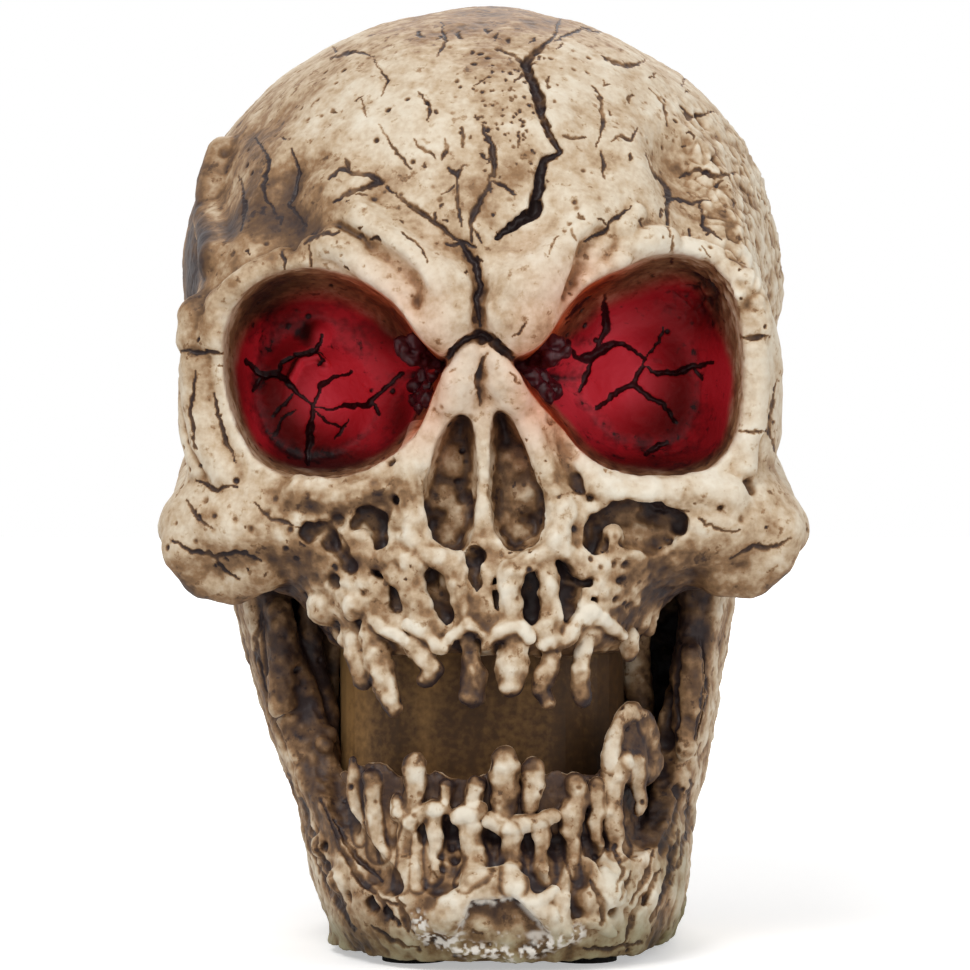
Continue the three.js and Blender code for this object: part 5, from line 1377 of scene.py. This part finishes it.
def weather(points, rough):
    """Height of fine wear in millimetres, from lumps of four sizes, creases and round pits scattered in
    patches, and the pits alone."""
    patch = smooth(-0.25, 0.45, lumps(points, 16, 44))
    pit = np.zeros(len(points), np.float32)
    some = np.nonzero(patch > 0.02)[0]
    pit[some] = smooth(0.19, 0.06, cells(points[some], 4.6, 41)[0]) * patch[some]
    fine = 0.10 * lumps(points, 2.4, 45) + 0.08 * lumps(points, 1.1, 46)
    crease = 0.5 - np.abs(lumps(points, 3.2, 48))
    worn = 0.4 * lumps(points, 5.0, 47) + 0.36 * crease + 0.24 * lumps(points, 1.9, 49)
    return fine * (0.6 + 1.6 * rough) + rough * worn - 0.5 * pit, pit


def wash_marks(c, points, height):
    """Brown wash, in hollows and rubbed off edges: fullness at four reaches, height and mottling."""
    wash = np.full(len(points), WASH_PLAIN, np.float32)
    for radius, strength in WASH_REACHES:
        full = sample(fullness(c, radius), c, points) - 0.5
        wash += strength * np.where(full > 0, 0.8 * full, 0.16 * full)
    mottle = 0.5 * lumps(points, 14, 21) + 0.35 * lumps(points, 5, 22) + 0.25 * lumps(points, 1.8, 23)
    return wash + 0.2 * mottle - 0.55 * height


def temple_shares(points):
    """How far each point lies in the left and in the right temple."""
    x, y, z = points.T
    side = smooth(*TEMPLE_SIDE, np.abs(x) + 0.25 * (y + 40))
    high = smooth(*TEMPLE_FOOT, z) * smooth(*TEMPLE_TOP, z) * smooth(*TEMPLE_BACK, y)
    return side * high * (x < 0), side * high * (x > 0)


# Turns and stretches points so that lumps run as slanting streaks down the left temple.
TEMPLE_SLANT = np.array([[0.5, 0, 0.3], [0, 0.5, 0.1], [-0.1, 0, 0.2]])


def paint_cranium(c, points, normals):
    """Wear and paint of the cranium, with lamp light and shade painted on: rough round the teeth, streaked
    left temple, cellular right temple.
    """
    x, y, z = points.T
    u, v = in_picture(points)
    left, right = temple_shares(points)
    mouth = smooth(*MOUTH_TOP, z) * smooth(*MOUTH_BACK, y) * smooth(*MOUTH_SIDE, np.abs(x))
    height, pit = weather(points, 0.25 + 0.75 * np.maximum(mouth, 0.6 * right))

    # Right temple: seams between bent cells, and creases. Left temple: streaks.
    some = np.nonzero(right > 0.02)[0]
    there = points[some]
    bent = there + 2.5 * np.stack([lumps(there, 7, seed) for seed in (55, 56, 57)], 1)
    near, far = cells(bent, 4.4, 51)
    seam = smooth(0.2, 0.02, far - near)
    height[some] -= right[some] * 0.36 * seam * smooth(-0.5, 0.2, lumps(there, 7, 58))
    crease = 0.4 - np.abs(lumps(there, 2.6, 60))
    height[some] += right[some] * (0.3 * lumps(there, 1.7, 59) + 0.3 * crease)
    streak = lumps(points @ TEMPLE_SLANT, 2.2, 52)
    height += left * 0.22 * streak

    # Lamp light and roof shade, both painted, then cracks with torn edges: on the bone outside the sockets,
    # and darker ones inside.
    ahead = ahead_share(c, points, normals)
    red, glow, spill, roof_painted_shade = lamp_light(points, normals)
    wash = wash_marks(c, points, height) + 0.3 * roof_painted_shade
    torn_u, torn_v = u + 1.5 * lumps(points, 0.9, 64), v + 1.5 * lumps(points, 0.9, 65)
    deep, ink = scored(torn_u, torn_v, FACE_CRACKS + stray_cracks())
    deep, ink = deep * (1 - red), ink * (1 - red) * (0.6 + 0.4 * smooth(-0.5, 0.3, lumps(points, 3, 63)))
    lined, dark = scored(torn_u, torn_v, SOCKET_CRACKS)
    height -= ahead * (deep + lined * red)
    # Brown wash, painted shade and painted highlight go in by patches.
    wash += ahead * (0.56 * ink + 0.9 * dark * red + spots_of(u, v, FACE_WASH_AND_PAINTED_SHADE))

    # Temples, pits, and painted shade under the cheeks and behind the teeth under the gum.
    wash += left * (0.10 + 0.22 * smooth(-0.2, 0.6, streak) + 0.14 * lumps(points, 12, 53))
    wash += right * (0.07 + 0.10 * lumps(points, 9, 54)) + 0.4 * pit
    # Painted shade on skin that faces down under the cheeks, and deep behind the teeth.
    wash += 0.26 * smooth(-0.1, -0.7, normals[:, 2]) * smooth(*UNDER_CHEEK, z)
    wash += 0.4 * smooth(*BEHIND_TEETH, y) * smooth(*UNDER_GUM, z)

    # Pegs browner at their tips and darker to their edges as painted shade, a browner mouth, and pale gum
    # lips.
    out, along = peg_marks(u, v, UPPER_PEGS)
    peg = smooth(*PEG_TOP, z) * smooth(1.3, 1.1, out)
    tip = 0.24 * smooth(0.7, 1.0, along) * (0.6 + lumps(points, 3, 62))
    wash += peg * (0.06 + 0.32 * smooth(0.45, 1.0, out) + tip)
    wash += 0.12 * mouth
    lip = stroke_distance(u, v, [spots for spots, _ in UPPER_LIPS])
    wash -= 0.26 * smooth(9, 4, lip) * smooth(*LIP_FRONT, y)
    none = np.zeros(len(points))
    return height, {"wash": wash, "red": red, "glow": glow, "spill": spill, "chalk": none, "moss": none}


def paint_jaw(c, points, normals):
    """Wear and paint of the jaw: rough all over, painted shade inside, mossy foot, chalky broken chin rim.
    """
    x, y, z = points.T
    u, v = in_picture(points)
    height, pit = weather(points, np.full(len(points), 0.8))
    streak = lumps(points * (1, 1, 0.3), 3.0, 61)
    height += 0.25 * streak
    wash = wash_marks(c, points, height) + 0.13 + 0.4 * pit
    ahead = ahead_share(c, points, normals)
    deep, ink = scored(u + 1.8 * lumps(points, 1.1, 64), v + 1.8 * lumps(points, 1.1, 65), JAW_CRACKS)
    height -= ahead * deep
    # Brown wash, painted shade and painted highlight go in by patches.
    wash += ahead * (0.4 * ink + spots_of(u, v, JAW_WASH_AND_PAINTED_SHADE))

    # Painted shade: darker inside the jaw.
    half = np.interp(z, JAW_LEVELS[:, 0], JAW_LEVELS[:, 1])
    wash += 0.38 * (smooth(*JAW_INSIDE, half - np.abs(x - jaw_lean(z))) * smooth(*JAW_BEHIND, y))

    # Pegs browner at their tips, darker to their edges and on the gum between them as painted shade, and
    # pale crowns.
    out, along = peg_marks(u, v, LOWER_PEGS)
    peg = ahead * smooth(*PEG_FRONT, y) * smooth(*PEG_FOOT, z)
    tip = 0.3 * smooth(0.16, 0.0, along) * smooth(*TIP_FOOT, z)
    wash += peg * smooth(1.2, 1.0, out) * (0.3 * smooth(0.5, 1.0, out) + tip)
    gum = peg * smooth(0.95, 1.2, out) * smooth(*GUM_HEIGHT, z)
    # The gum between the pegs is darkened as painted shade.
    wash += gum * np.maximum(0.84 - wash, 0)
    crown = stroke_distance(u, v, [spots for spots, _ in LOWER_CROWNS])
    wash -= 0.26 * smooth(10, 5, crown) * smooth(*CROWN_FRONT, y)

    # Moss at the foot, and in patches up the right side.
    patch = smooth(-0.3, 0.5, lumps(points, 9, 34))
    moss = 0.8 * smooth(*MOSS_FOOT, z) + 0.45 * smooth(*MOSS_SIDE, u) * smooth(*MOSS_TOP, z) * patch

    # Crumbly chalk along the broken rim, on the sides of the chip, and in streaks inside it.
    front = smooth(*CHIN_FRONT, y)
    rim = stroke_distance(u, v, [CHALK_RIM])
    side = stroke_distance(u, v, [CHIP_SIDES])
    crumb = 0.8 * lumps(points, 1.1, 31) + 0.8 * lumps(points, 0.55, 32)
    chip = smooth(2, -2, outline_distance(u, v, CHIP))
    streaks = smooth(0.25, 0.6, lumps(points * (0.4, 1, 1.4), 2.2, 33) + 0.4 * lumps(points, 0.8, 35))
    chalk = smooth(12, 2, rim) * smooth(0.0, 0.3, crumb)
    chalk = chalk + 0.7 * smooth(5, 1, side) * smooth(-0.5, 0.2, crumb)
    chalk = front * np.clip(chalk + 0.7 * chip * streaks, 0, 1)
    height += front * 0.3 * smooth(14, 4, rim) * crumb
    wash += front * chip * (0.2 * lumps(points, 3.5, 36) - 0.12)
    wash -= 0.14 * front * smooth(26, 8, stroke_distance(u, v, PALE_SIDES)) * (1 - chip)
    none = np.zeros(len(points))
    return height, {"wash": wash, "red": none, "glow": none, "spill": none, "chalk": chalk, "moss": moss}


# Materials

BLACK = (0, 0, 0, 1)
WHITE = (1, 1, 1, 1)


def tone(red, green, blue):
    """A colour given in screen values from 0 to 255, made linear."""
    s = np.array([red, green, blue]) / 255.0
    linear = np.where(s <= 0.04045, s / 12.92, ((s + 0.055) / 1.055) ** 2.4)
    return (*linear.tolist(), 1.0)


def fill(socket, value, tree):
    """Gives a socket its value: a wire from another node's socket, or a plain number or colour."""
    if hasattr(value, "links"):
        tree.links.new(value, socket)
    else:
        socket.default_value = value


class Nodes:
    """A node tree with short calls to add and wire nodes."""

    def __init__(self, tree):
        self.tree = tree

    def add(self, kind, **settings):
        """A new node with its settings."""
        made = self.tree.nodes.new("ShaderNode" + kind)
        for key, value in settings.items():
            setattr(made, key, value)
        return made

    def give(self, node, **values):
        """Fills sockets by their labels, written with _ for spaces."""
        for label, value in values.items():
            fill(node.inputs[label.replace("_", " ")], value, self.tree)
        return node

    def mark(self, name):
        """A mark painted on the points."""
        return self.add("Attribute", attribute_name=name).outputs["Fac"]

    def place(self):
        """The place on the object."""
        return self.add("TexCoord").outputs["Object"]

    def maths(self, operation, a, b, clamp=False):
        """One sum of two values."""
        made = self.add("Math", operation=operation, use_clamp=clamp)
        for socket, value in zip(made.inputs, (a, b)):
            fill(socket, value, self.tree)
        return made.outputs[0]

    def times(self, a, b):
        return self.maths("MULTIPLY", a, b)

    def plus(self, a, b):
        return self.maths("ADD", a, b)

    def less(self, a, b):
        return self.maths("SUBTRACT", a, b)

    def mix(self, share, a, b, blend="MIX"):
        """One colour with a share of another over it."""
        made = self.add("Mix", data_type="RGBA", blend_type=blend)
        for socket, value in zip((made.inputs[0], made.inputs[6], made.inputs[7]), (share, a, b)):
            fill(socket, value, self.tree)
        return made.outputs[2]

    def ramp(self, share, stops):
        """A colour picked along stops."""
        made = self.add("ValToRGB")
        while len(made.color_ramp.elements) < len(stops):
            made.color_ramp.elements.new(0.5)
        for element, (place, colour) in zip(made.color_ramp.elements, stops):
            element.position = place
            element.color = colour
        fill(made.inputs[0], share, self.tree)
        return made.outputs[0]

    def noise(self, scale, detail=3.0, stretch=(1, 1, 1), rough=0.5):
        """Clouds over the object, which may be stretched."""
        turn = self.give(self.add("Mapping"), Scale=stretch, Vector=self.place())
        made = self.add("TexNoise")
        self.give(made, Scale=scale, Detail=detail, Roughness=rough, Vector=turn.outputs[0])
        return made.outputs["Fac"]

    def grain(self, scale):
        """Speckle and height of the shared fine grain."""
        made = self.give(self.add("Group", node_tree=FINE_GRAIN), Scale=scale, Depth=1.0)
        return made.outputs["Speckle"], made.outputs["Height"]

    def bump(self, height, strength, distance):
        """Normals tilted by a height."""
        made = self.give(self.add("Bump"), Strength=strength, Distance=distance, Height=height)
        return made.outputs[0]


def grain_group():
    """Fine grain shared by paints and mouldings: a speckle for the colour and a height for the bump."""
    tree = bpy.data.node_groups.new("fine_grain", "ShaderNodeTree")
    for way, labels in (("INPUT", ("Scale", "Depth")), ("OUTPUT", ("Speckle", "Height"))):
        for label in labels:
            tree.interface.new_socket(label, in_out=way, socket_type="NodeSocketFloat")
    nodes = Nodes(tree)
    given, out = tree.nodes.new("NodeGroupInput"), tree.nodes.new("NodeGroupOutput")
    noise = nodes.add("TexNoise")
    nodes.give(noise, Detail=4.0, Vector=nodes.place(), Scale=given.outputs["Scale"])
    speckle = noise.outputs["Fac"]
    nodes.give(out, Speckle=speckle, Height=nodes.times(speckle, given.outputs["Depth"]))
    return tree


FINE_GRAIN = grain_group()


def new_material(name):
    """A material, its nodes and its shader."""
    material = bpy.data.materials.new(name)
    material.use_nodes = True
    return material, Nodes(material.node_tree), material.node_tree.nodes["Principled BSDF"]


# Colours of the wash from bare edges to deep hollows, and of the lamp light painted in a socket, from unlit
# to close by the lamp.
BONE_TONES = [
    (0.0, tone(240, 230, 211)), (0.2, tone(226, 210, 186)), (0.36, tone(202, 177, 146)),
    (0.52, tone(156, 121, 86)), (0.68, tone(106, 78, 53)), (0.86, tone(72, 52, 41)), (1.0, tone(49, 36, 35)),
]
PAINTED_LAMPLIGHT_TONES = [
    (0.0, tone(32, 13, 10)), (0.2, tone(84, 12, 14)), (0.5, tone(140, 28, 40)), (1.0, tone(188, 66, 84)),
]
THROAT_TONES = [
    (0.38, tone(42, 29, 23)), (0.53, tone(86, 61, 37)), (0.64, tone(146, 110, 67)),
    (0.9, tone(176, 140, 92)),
]
MOSS_TONE = tone(150, 152, 120)
CHALK_TONE = tone(232, 226, 216)
PAINTED_SPILL_LIGHT_TONE = tone(252, 134, 88)
LIT_CRACK_TONE = tone(24, 5, 9)
PAINTED_GLOW_TONE = tone(255, 22, 34)


def bone_material():
    """Antique bone: cream edges, tan flats, brown and purple-brown wash in hollows, painted red lamp light.
    """
    material, nodes, shader = new_material("antique_bone")
    speckle, height = nodes.grain(900)
    cloud = nodes.noise(130, 9.0, rough=0.62)
    stain = nodes.plus(nodes.times(nodes.less(cloud, 0.5), 0.62), nodes.times(nodes.less(speckle, 0.5), 0.3))
    fleck = nodes.ramp(nodes.noise(420, rough=0.6), [(0.6, BLACK), (0.7, WHITE)])
    mottled = nodes.plus(nodes.mark("wash"), nodes.plus(stain, nodes.times(fleck, 0.22)))
    paint = nodes.ramp(mottled, BONE_TONES)
    paint = nodes.mix(nodes.mark("moss"), paint, MOSS_TONE, "MULTIPLY")
    paint = nodes.mix(nodes.mark("chalk"), paint, CHALK_TONE)
    # The lamps' red light painted over the bone round the sockets.
    paint = nodes.mix(nodes.mark("spill"), paint, PAINTED_SPILL_LIGHT_TONE, "MULTIPLY")
    # The sockets' red lamp light is painted on: a lit colour and a faint red glow, from the painted glow
    # mark.
    painted_lamplit_colour = nodes.ramp(nodes.mark("glow"), PAINTED_LAMPLIGHT_TONES)
    crack = nodes.ramp(mottled, [(0.5, BLACK), (0.8, WHITE)])
    painted_red_lamplight = nodes.mix(nodes.times(crack, 0.9), painted_lamplit_colour, LIT_CRACK_TONE)
    painted_glow_share = nodes.times(nodes.times(nodes.mark("glow"), nodes.mark("red")), nodes.less(1.0, crack))
    nodes.give(
        shader,
        Base_Color=nodes.mix(nodes.mark("red"), paint, painted_red_lamplight),
        Roughness=nodes.plus(nodes.times(mottled, -0.15), 0.62),
        Emission_Color=nodes.mix(painted_glow_share, BLACK, PAINTED_GLOW_TONE),
        Emission_Strength=0.17,
        Specular_IOR_Level=0.25,
        Normal=nodes.bump(height, 0.35, 0.0004),
    )
    return material


def moulded(name, dark, light, rough, scale, metal=0.0, depth=0.3, coat=0.0):
    """A plain finish whose colour and gloss waver between two tones with a fine grain."""
    material, nodes, shader = new_material(name)
    speckle, height = nodes.grain(scale)
    nodes.give(
        shader,
        Base_Color=nodes.mix(speckle, tone(*dark), tone(*light)),
        Roughness=nodes.plus(nodes.times(speckle, 0.16), rough - 0.08),
        Metallic=metal,
        Coat_Weight=coat,
        Normal=nodes.bump(height, depth, 0.0003),
    )
    return material


def throat_material():
    """Smooth brown throat: upright streaks from light to dark brown, with painted shade darker to the right.
    """
    material, nodes, shader = new_material("throat_paint")
    narrow = nodes.times(nodes.noise(70, 4.0, (1, 1, 0.15)), 0.6)
    wide = nodes.times(nodes.noise(26, 3.0, (1, 1, 0.5)), 0.5)
    speckle, height = nodes.grain(700)
    across = nodes.give(nodes.add("SeparateXYZ"), Vector=nodes.place())
    # Painted shade: the streaks darken steadily to the right.
    streak = nodes.less(nodes.plus(narrow, wide), nodes.times(across.outputs["X"], 4.0))
    mixed = nodes.plus(nodes.times(streak, 0.8), nodes.times(speckle, 0.2))
    nodes.give(
        shader,
        Base_Color=nodes.ramp(mixed, THROAT_TONES),
        Roughness=nodes.plus(nodes.times(speckle, 0.2), 0.45),
        Specular_IOR_Level=0.2,
        Normal=nodes.bump(height, 0.15, 0.0003),
    )
    return material


def lens_material():
    """Lit red lens: tinted gloss that shines evenly, a little hotter along grain of its own."""
    material, nodes, shader = new_material("lit_lens")
    speckle, _ = nodes.grain(400)
    nodes.give(
        shader,
        Base_Color=nodes.mix(speckle, tone(200, 20, 20), tone(235, 60, 50)),
        Emission_Color=nodes.mix(speckle, tone(255, 30, 26), tone(255, 90, 80)),
        Emission_Strength=1.4,
        Roughness=0.15,
    )
    return material


BONE = bone_material()
FINISHES = {
    "throat_resin": throat_material(),
    "black_felt": moulded("felt", (24, 22, 21), (52, 48, 46), 0.95, 1800, depth=0.9),
    "black_plastic": moulded("black_moulding", (28, 28, 31), (46, 46, 50), 0.5, 1200),
    "screw_steel": moulded("zinc_screw", (150, 152, 155), (196, 198, 200), 0.32, 900, 1.0, 0.1),
    "cell_sleeve": moulded("cell_sleeve", (44, 84, 58), (70, 120, 86), 0.3, 300, 0.0, 0.05, 0.4),
    "tinned_wire": moulded("tinned_wire", (160, 162, 165), (206, 208, 210), 0.3, 1200, 1.0, 0.1),
    "contact_brass": moulded("contact_brass", (168, 140, 78), (206, 180, 112), 0.34, 700, 1.0, 0.1),
    "white_plastic": moulded("white_moulding", (204, 203, 198), (226, 225, 220), 0.45, 900),
    "dark_glue": moulded("dark_glue", (34, 4, 12), (88, 14, 30), 0.46, 500, 0.0, 0.6),
    "red_lens": lens_material(),
    "wire_red": moulded("red_wire", (140, 22, 22), (172, 36, 34), 0.4, 600),
    "wire_black": moulded("black_wire", (20, 20, 22), (38, 38, 40), 0.4, 600),
}

for part in frame["record"]["subparts"]:
    node = frame["nodes"][part["node"]]
    node.data.materials.clear()
    node.data.materials.append(FINISHES.get(part["material_slot"], BONE))


# Pieces


def in_frame(points):
    """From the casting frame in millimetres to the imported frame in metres."""
    return (points + (0, FOOT_SHIFT, 0)) / 1000.0


def make_mesh(name, points, faces, normals, marks, material):
    """A mesh object from whole arrays, with its skin normals and painted marks."""
    mesh = bpy.data.meshes.new(name)
    mesh.vertices.add(len(points))
    mesh.vertices.foreach_set("co", in_frame(points).astype(np.float32).ravel())
    loops = faces[faces >= 0]
    counts = (faces >= 0).sum(1)
    mesh.loops.add(len(loops))
    mesh.loops.foreach_set("vertex_index", loops.astype(np.int32))
    mesh.polygons.add(len(faces))
    mesh.polygons.foreach_set("loop_start", (np.cumsum(counts) - counts).astype(np.int32))
    mesh.update(calc_edges=True)
    mesh.polygons.foreach_set("use_smooth", np.ones(len(faces), bool))
    for key, values in marks.items():
        layer = mesh.attributes.new(key, "FLOAT", "POINT")
        layer.data.foreach_set("value", values.astype(np.float32))
    mesh.normals_split_custom_set_from_vertices(normals.astype(np.float32))
    mesh.materials.append(material)
    obj = bpy.data.objects.new(name, mesh)
    bpy.context.scene.collection.objects.link(obj)
    return obj


def hand_over(obj, node):
    """A piece rides with the skull in place of a solid."""
    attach(obj, "skull")
    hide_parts(node)


def cast_pieces(name, c, paint, node, sectors):
    """Skins and paints a casting, finer where it faces forward, and splits it into pieces by sector."""
    points, faces = skin(c)
    c.read_front()
    first = points[faces[:, 0]]
    faced = slopes(c, first)[:, 1] < -0.1
    faced &= (first[:, 1] < c.front_at(first[:, 0], first[:, 2]) + SKIN_DEPTH) & (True)
    points, faces = quarter(c, points, faces, faced)
    normals = slopes(c, points)
    height, marks = paint(c, points, normals)
    points = points + height[:, None] * normals
    normals = mesh_normals(points, faces[:, 0::2])
    which = sectors(*points[faces[:, 0]].T)
    for number in np.unique(which):
        part = faces[which == number]
        used, again = np.unique(part, return_inverse=True)
        again = again.reshape(part.shape) - 1
        used = used[1:]
        shown = {key: values[used] for key, values in marks.items()}
        obj = make_mesh(f"{name}_{number + 1}", points[used], again, normals[used], shown, BONE)
        hand_over(obj, node)


# Where the castings are split: the back behind a depth and by height, the face in bands of height.
BACK_STARTS = -15
BACK_SPLIT = 130
FACE_SPLITS = (86, 108, 128, 152)
JAW_SPLIT = 30


def cranium_sectors(x, y, z):
    """Left and right, each in bands of height for the face and two for the back."""
    back = len(FACE_SPLITS) + 1 + (z > BACK_SPLIT)
    return 2 * np.where(y > BACK_STARTS, back, np.digitize(z, FACE_SPLITS)) + (x > 0)


def jaw_sectors(x, y, z):
    """Left and right, each low and high."""
    return 2 * (z > JAW_SPLIT) + (x > JAW_LEAN / 2)


# Dabs of glue along the corner of each socket.
LEFT_GLUE = drawn("418,350 426,354 434,360 442,364 430,366 424,376 434,376 428,386 422,396 428,398 420,408 "
                  "436,370 416,386 414,400")
RIGHT_GLUE = drawn("520,366 527,362 535,356 543,350 549,342 526,372 534,368 542,362 532,380 540,376 540,388 "
                   "547,384 546,396 552,392")
GLUE_GRID = 0.3
GLUE_REACH = 17
CORNER_DAB = 1.4

# The ring of dabs in front of a lamp: how many, radius, how far ahead and how uneven.
RING_DABS = 8
RING_RADIUS = 1.8
RING_AHEAD = 1.4
RING_UNEVEN = 0.4

# Rows of dabs back over a lamp's barrel: how far along, which way, where they start, and their heights.
BARREL_RUN = np.arange(2.4, 14, 1.3)
BARREL_WAY = (0.6, 0.8)
BARREL_START = 2.4
BARREL_ROWS = (-2.2, 0, 2.2)


def glue(name, node, bone, lamp, spots, seed):
    """Glue dabbed round a lamp: a ring of dabs that leaves only a dot of the lens in sight, more over its
    barrel and along the corner of the socket."""
    chance = np.random.default_rng(seed)
    g = Casting(lamp - GLUE_REACH, lamp + GLUE_REACH, GLUE_GRID)
    turn = np.linspace(0, 2 * np.pi, RING_DABS + 1)[:-1]
    nose = -np.sign(lamp[0])
    ring = np.stack([RING_RADIUS * np.cos(turn), -RING_AHEAD + 0 * turn, RING_RADIUS * np.sin(turn)], 1)
    ring = ring + chance.normal(0, RING_UNEVEN, ring.shape)
    out, back = BARREL_WAY[0] * BARREL_RUN, BARREL_WAY[1] * BARREL_RUN - BARREL_START
    barrel = [np.stack([out, back, 0 * back + high], 1) for high in BARREL_ROWS]
    at_lamp = np.concatenate([ring, *barrel])
    dabs = np.concatenate([lamp + at_lamp * (nose, 1, 1), bone.on_skin(spots, 0.1)])
    sizes = np.r_[np.ones(len(at_lamp)), np.full(len(spots), CORNER_DAB)]
    for dab, size in zip(dabs, sizes):
        g.chain(np.repeat(dab[None], 2, axis=0), size * chance.uniform(1.0, 1.5), blend=0.7)
    points, faces = skin(g)
    normals = slopes(g, points)
    points = points + (0.4 * lumps(points, 1.7, 81) + 0.25 * lumps(points, 0.8, 82))[:, None] * normals
    obj = make_mesh(name, points, faces, mesh_normals(points, faces), {}, FINISHES["dark_glue"])
    hand_over(obj, node)


bone = cranium()
bone.read_front()
glue("glue_left", "led_left_glue", bone, LAMPS[0], LEFT_GLUE, 11)
glue("glue_right", "led_right_glue", bone, LAMPS[1], RIGHT_GLUE, 12)
cast_pieces("cranium_casting", bone, paint_cranium, "cranium", cranium_sectors)
cast_pieces("jaw_casting", jaw(), paint_jaw, "jaw", jaw_sectors)


# Studio

# Area lights: name, place, power and size. They all look at the middle of the face.
LIGHTS = [
    ("key", (-0.4, -0.85, 1.15), 9.0, 0.6),
    ("fill", (0.9, -0.85, 0.55), 3.4, 0.9),
    ("behind", (0.1, 0.9, 1.1), 4.0, 0.7),
]
LIGHT_TARGET = (0, 0, 0.1)

# The floor, and how far from the middle and how fast it whitens.
FLOOR_CORNERS = [(-3, -3, 0), (3, -3, 0), (3, 6, 0), (-3, 6, 0)]
FLOOR_GREY = (0.42, 0.42, 0.42, 1)
WHITENS_FROM = 0.2
WHITENS_BY = 1.6

# Share of the surround's white that lights the part, and the camera's sensor.
SURROUND_LIGHT = 0.38
SENSOR = 36.0


def surround():
    """White surround, seen at full strength and lighting at less."""
    world = bpy.data.worlds.new("studio")
    bpy.context.scene.world = world
    world.use_nodes = True
    nodes = Nodes(world.node_tree)
    path = nodes.add("LightPath")
    in_view = nodes.maths("MAXIMUM", path.outputs["Is Camera Ray"], path.outputs["Is Glossy Ray"])
    in_view = nodes.maths("MAXIMUM", in_view, path.outputs["Is Transmission Ray"])
    strength = nodes.plus(nodes.times(in_view, 1 - SURROUND_LIGHT), SURROUND_LIGHT)
    nodes.give(world.node_tree.nodes["Background"], Color=WHITE, Strength=strength)


def floor():
    """Pale floor, whiter away from the part so that its edge is lost in the surround."""
    mesh = bpy.data.meshes.new("floor")
    mesh.from_pydata(FLOOR_CORNERS, [], [(0, 1, 2, 3)])
    material, nodes, shader = new_material("floor_paper")
    speckle, _ = nodes.grain(300)
    path = nodes.add("LightPath")
    away = nodes.add("VectorMath", operation="LENGTH")
    nodes.give(away, Vector=nodes.place())
    past = nodes.less(away.outputs["Value"], WHITENS_FROM)
    far = nodes.maths("MULTIPLY", past, WHITENS_BY, clamp=True)
    paper = nodes.mix(far, FLOOR_GREY, WHITE)
    nodes.give(
        shader,
        Base_Color=nodes.mix(speckle, tone(240, 240, 240), tone(246, 246, 246)),
        Roughness=0.9,
        Emission_Color=nodes.mix(path.outputs["Is Camera Ray"], BLACK, paper),
        Emission_Strength=1.0,
    )
    mesh.materials.append(material)
    obj = bpy.data.objects.new("floor", mesh)
    bpy.context.scene.collection.objects.link(obj)


def lights():
    """A soft key from upper left, a fill from the right and a light behind."""
    for name, place, power, size in LIGHTS:
        data = bpy.data.lights.new(name, "AREA")
        data.energy = power
        data.size = size
        lamp = bpy.data.objects.new(name, data)
        lamp.location = place
        aim = np.array(LIGHT_TARGET) - place
        level = float(np.hypot(aim[0], aim[1]))
        lamp.rotation_euler = (np.pi / 2 + np.arctan2(aim[2], level), 0, np.arctan2(-aim[0], aim[1]))
        bpy.context.scene.collection.objects.link(lamp)


def camera():
    """A level camera at the eye that the features were set out from."""
    scene = bpy.context.scene
    data = bpy.data.cameras.new("camera")
    data.sensor_width = SENSOR
    data.lens = FOCAL / PICTURE * SENSOR
    data.clip_start = 0.01
    eye = bpy.data.objects.new("camera", data)
    eye.location = in_frame(np.array(EYE))
    eye.rotation_euler = (np.pi / 2, 0, 0)
    scene.collection.objects.link(eye)
    scene.camera = eye
    scene.view_settings.view_transform = "Standard"


surround()
floor()
lights()
camera()
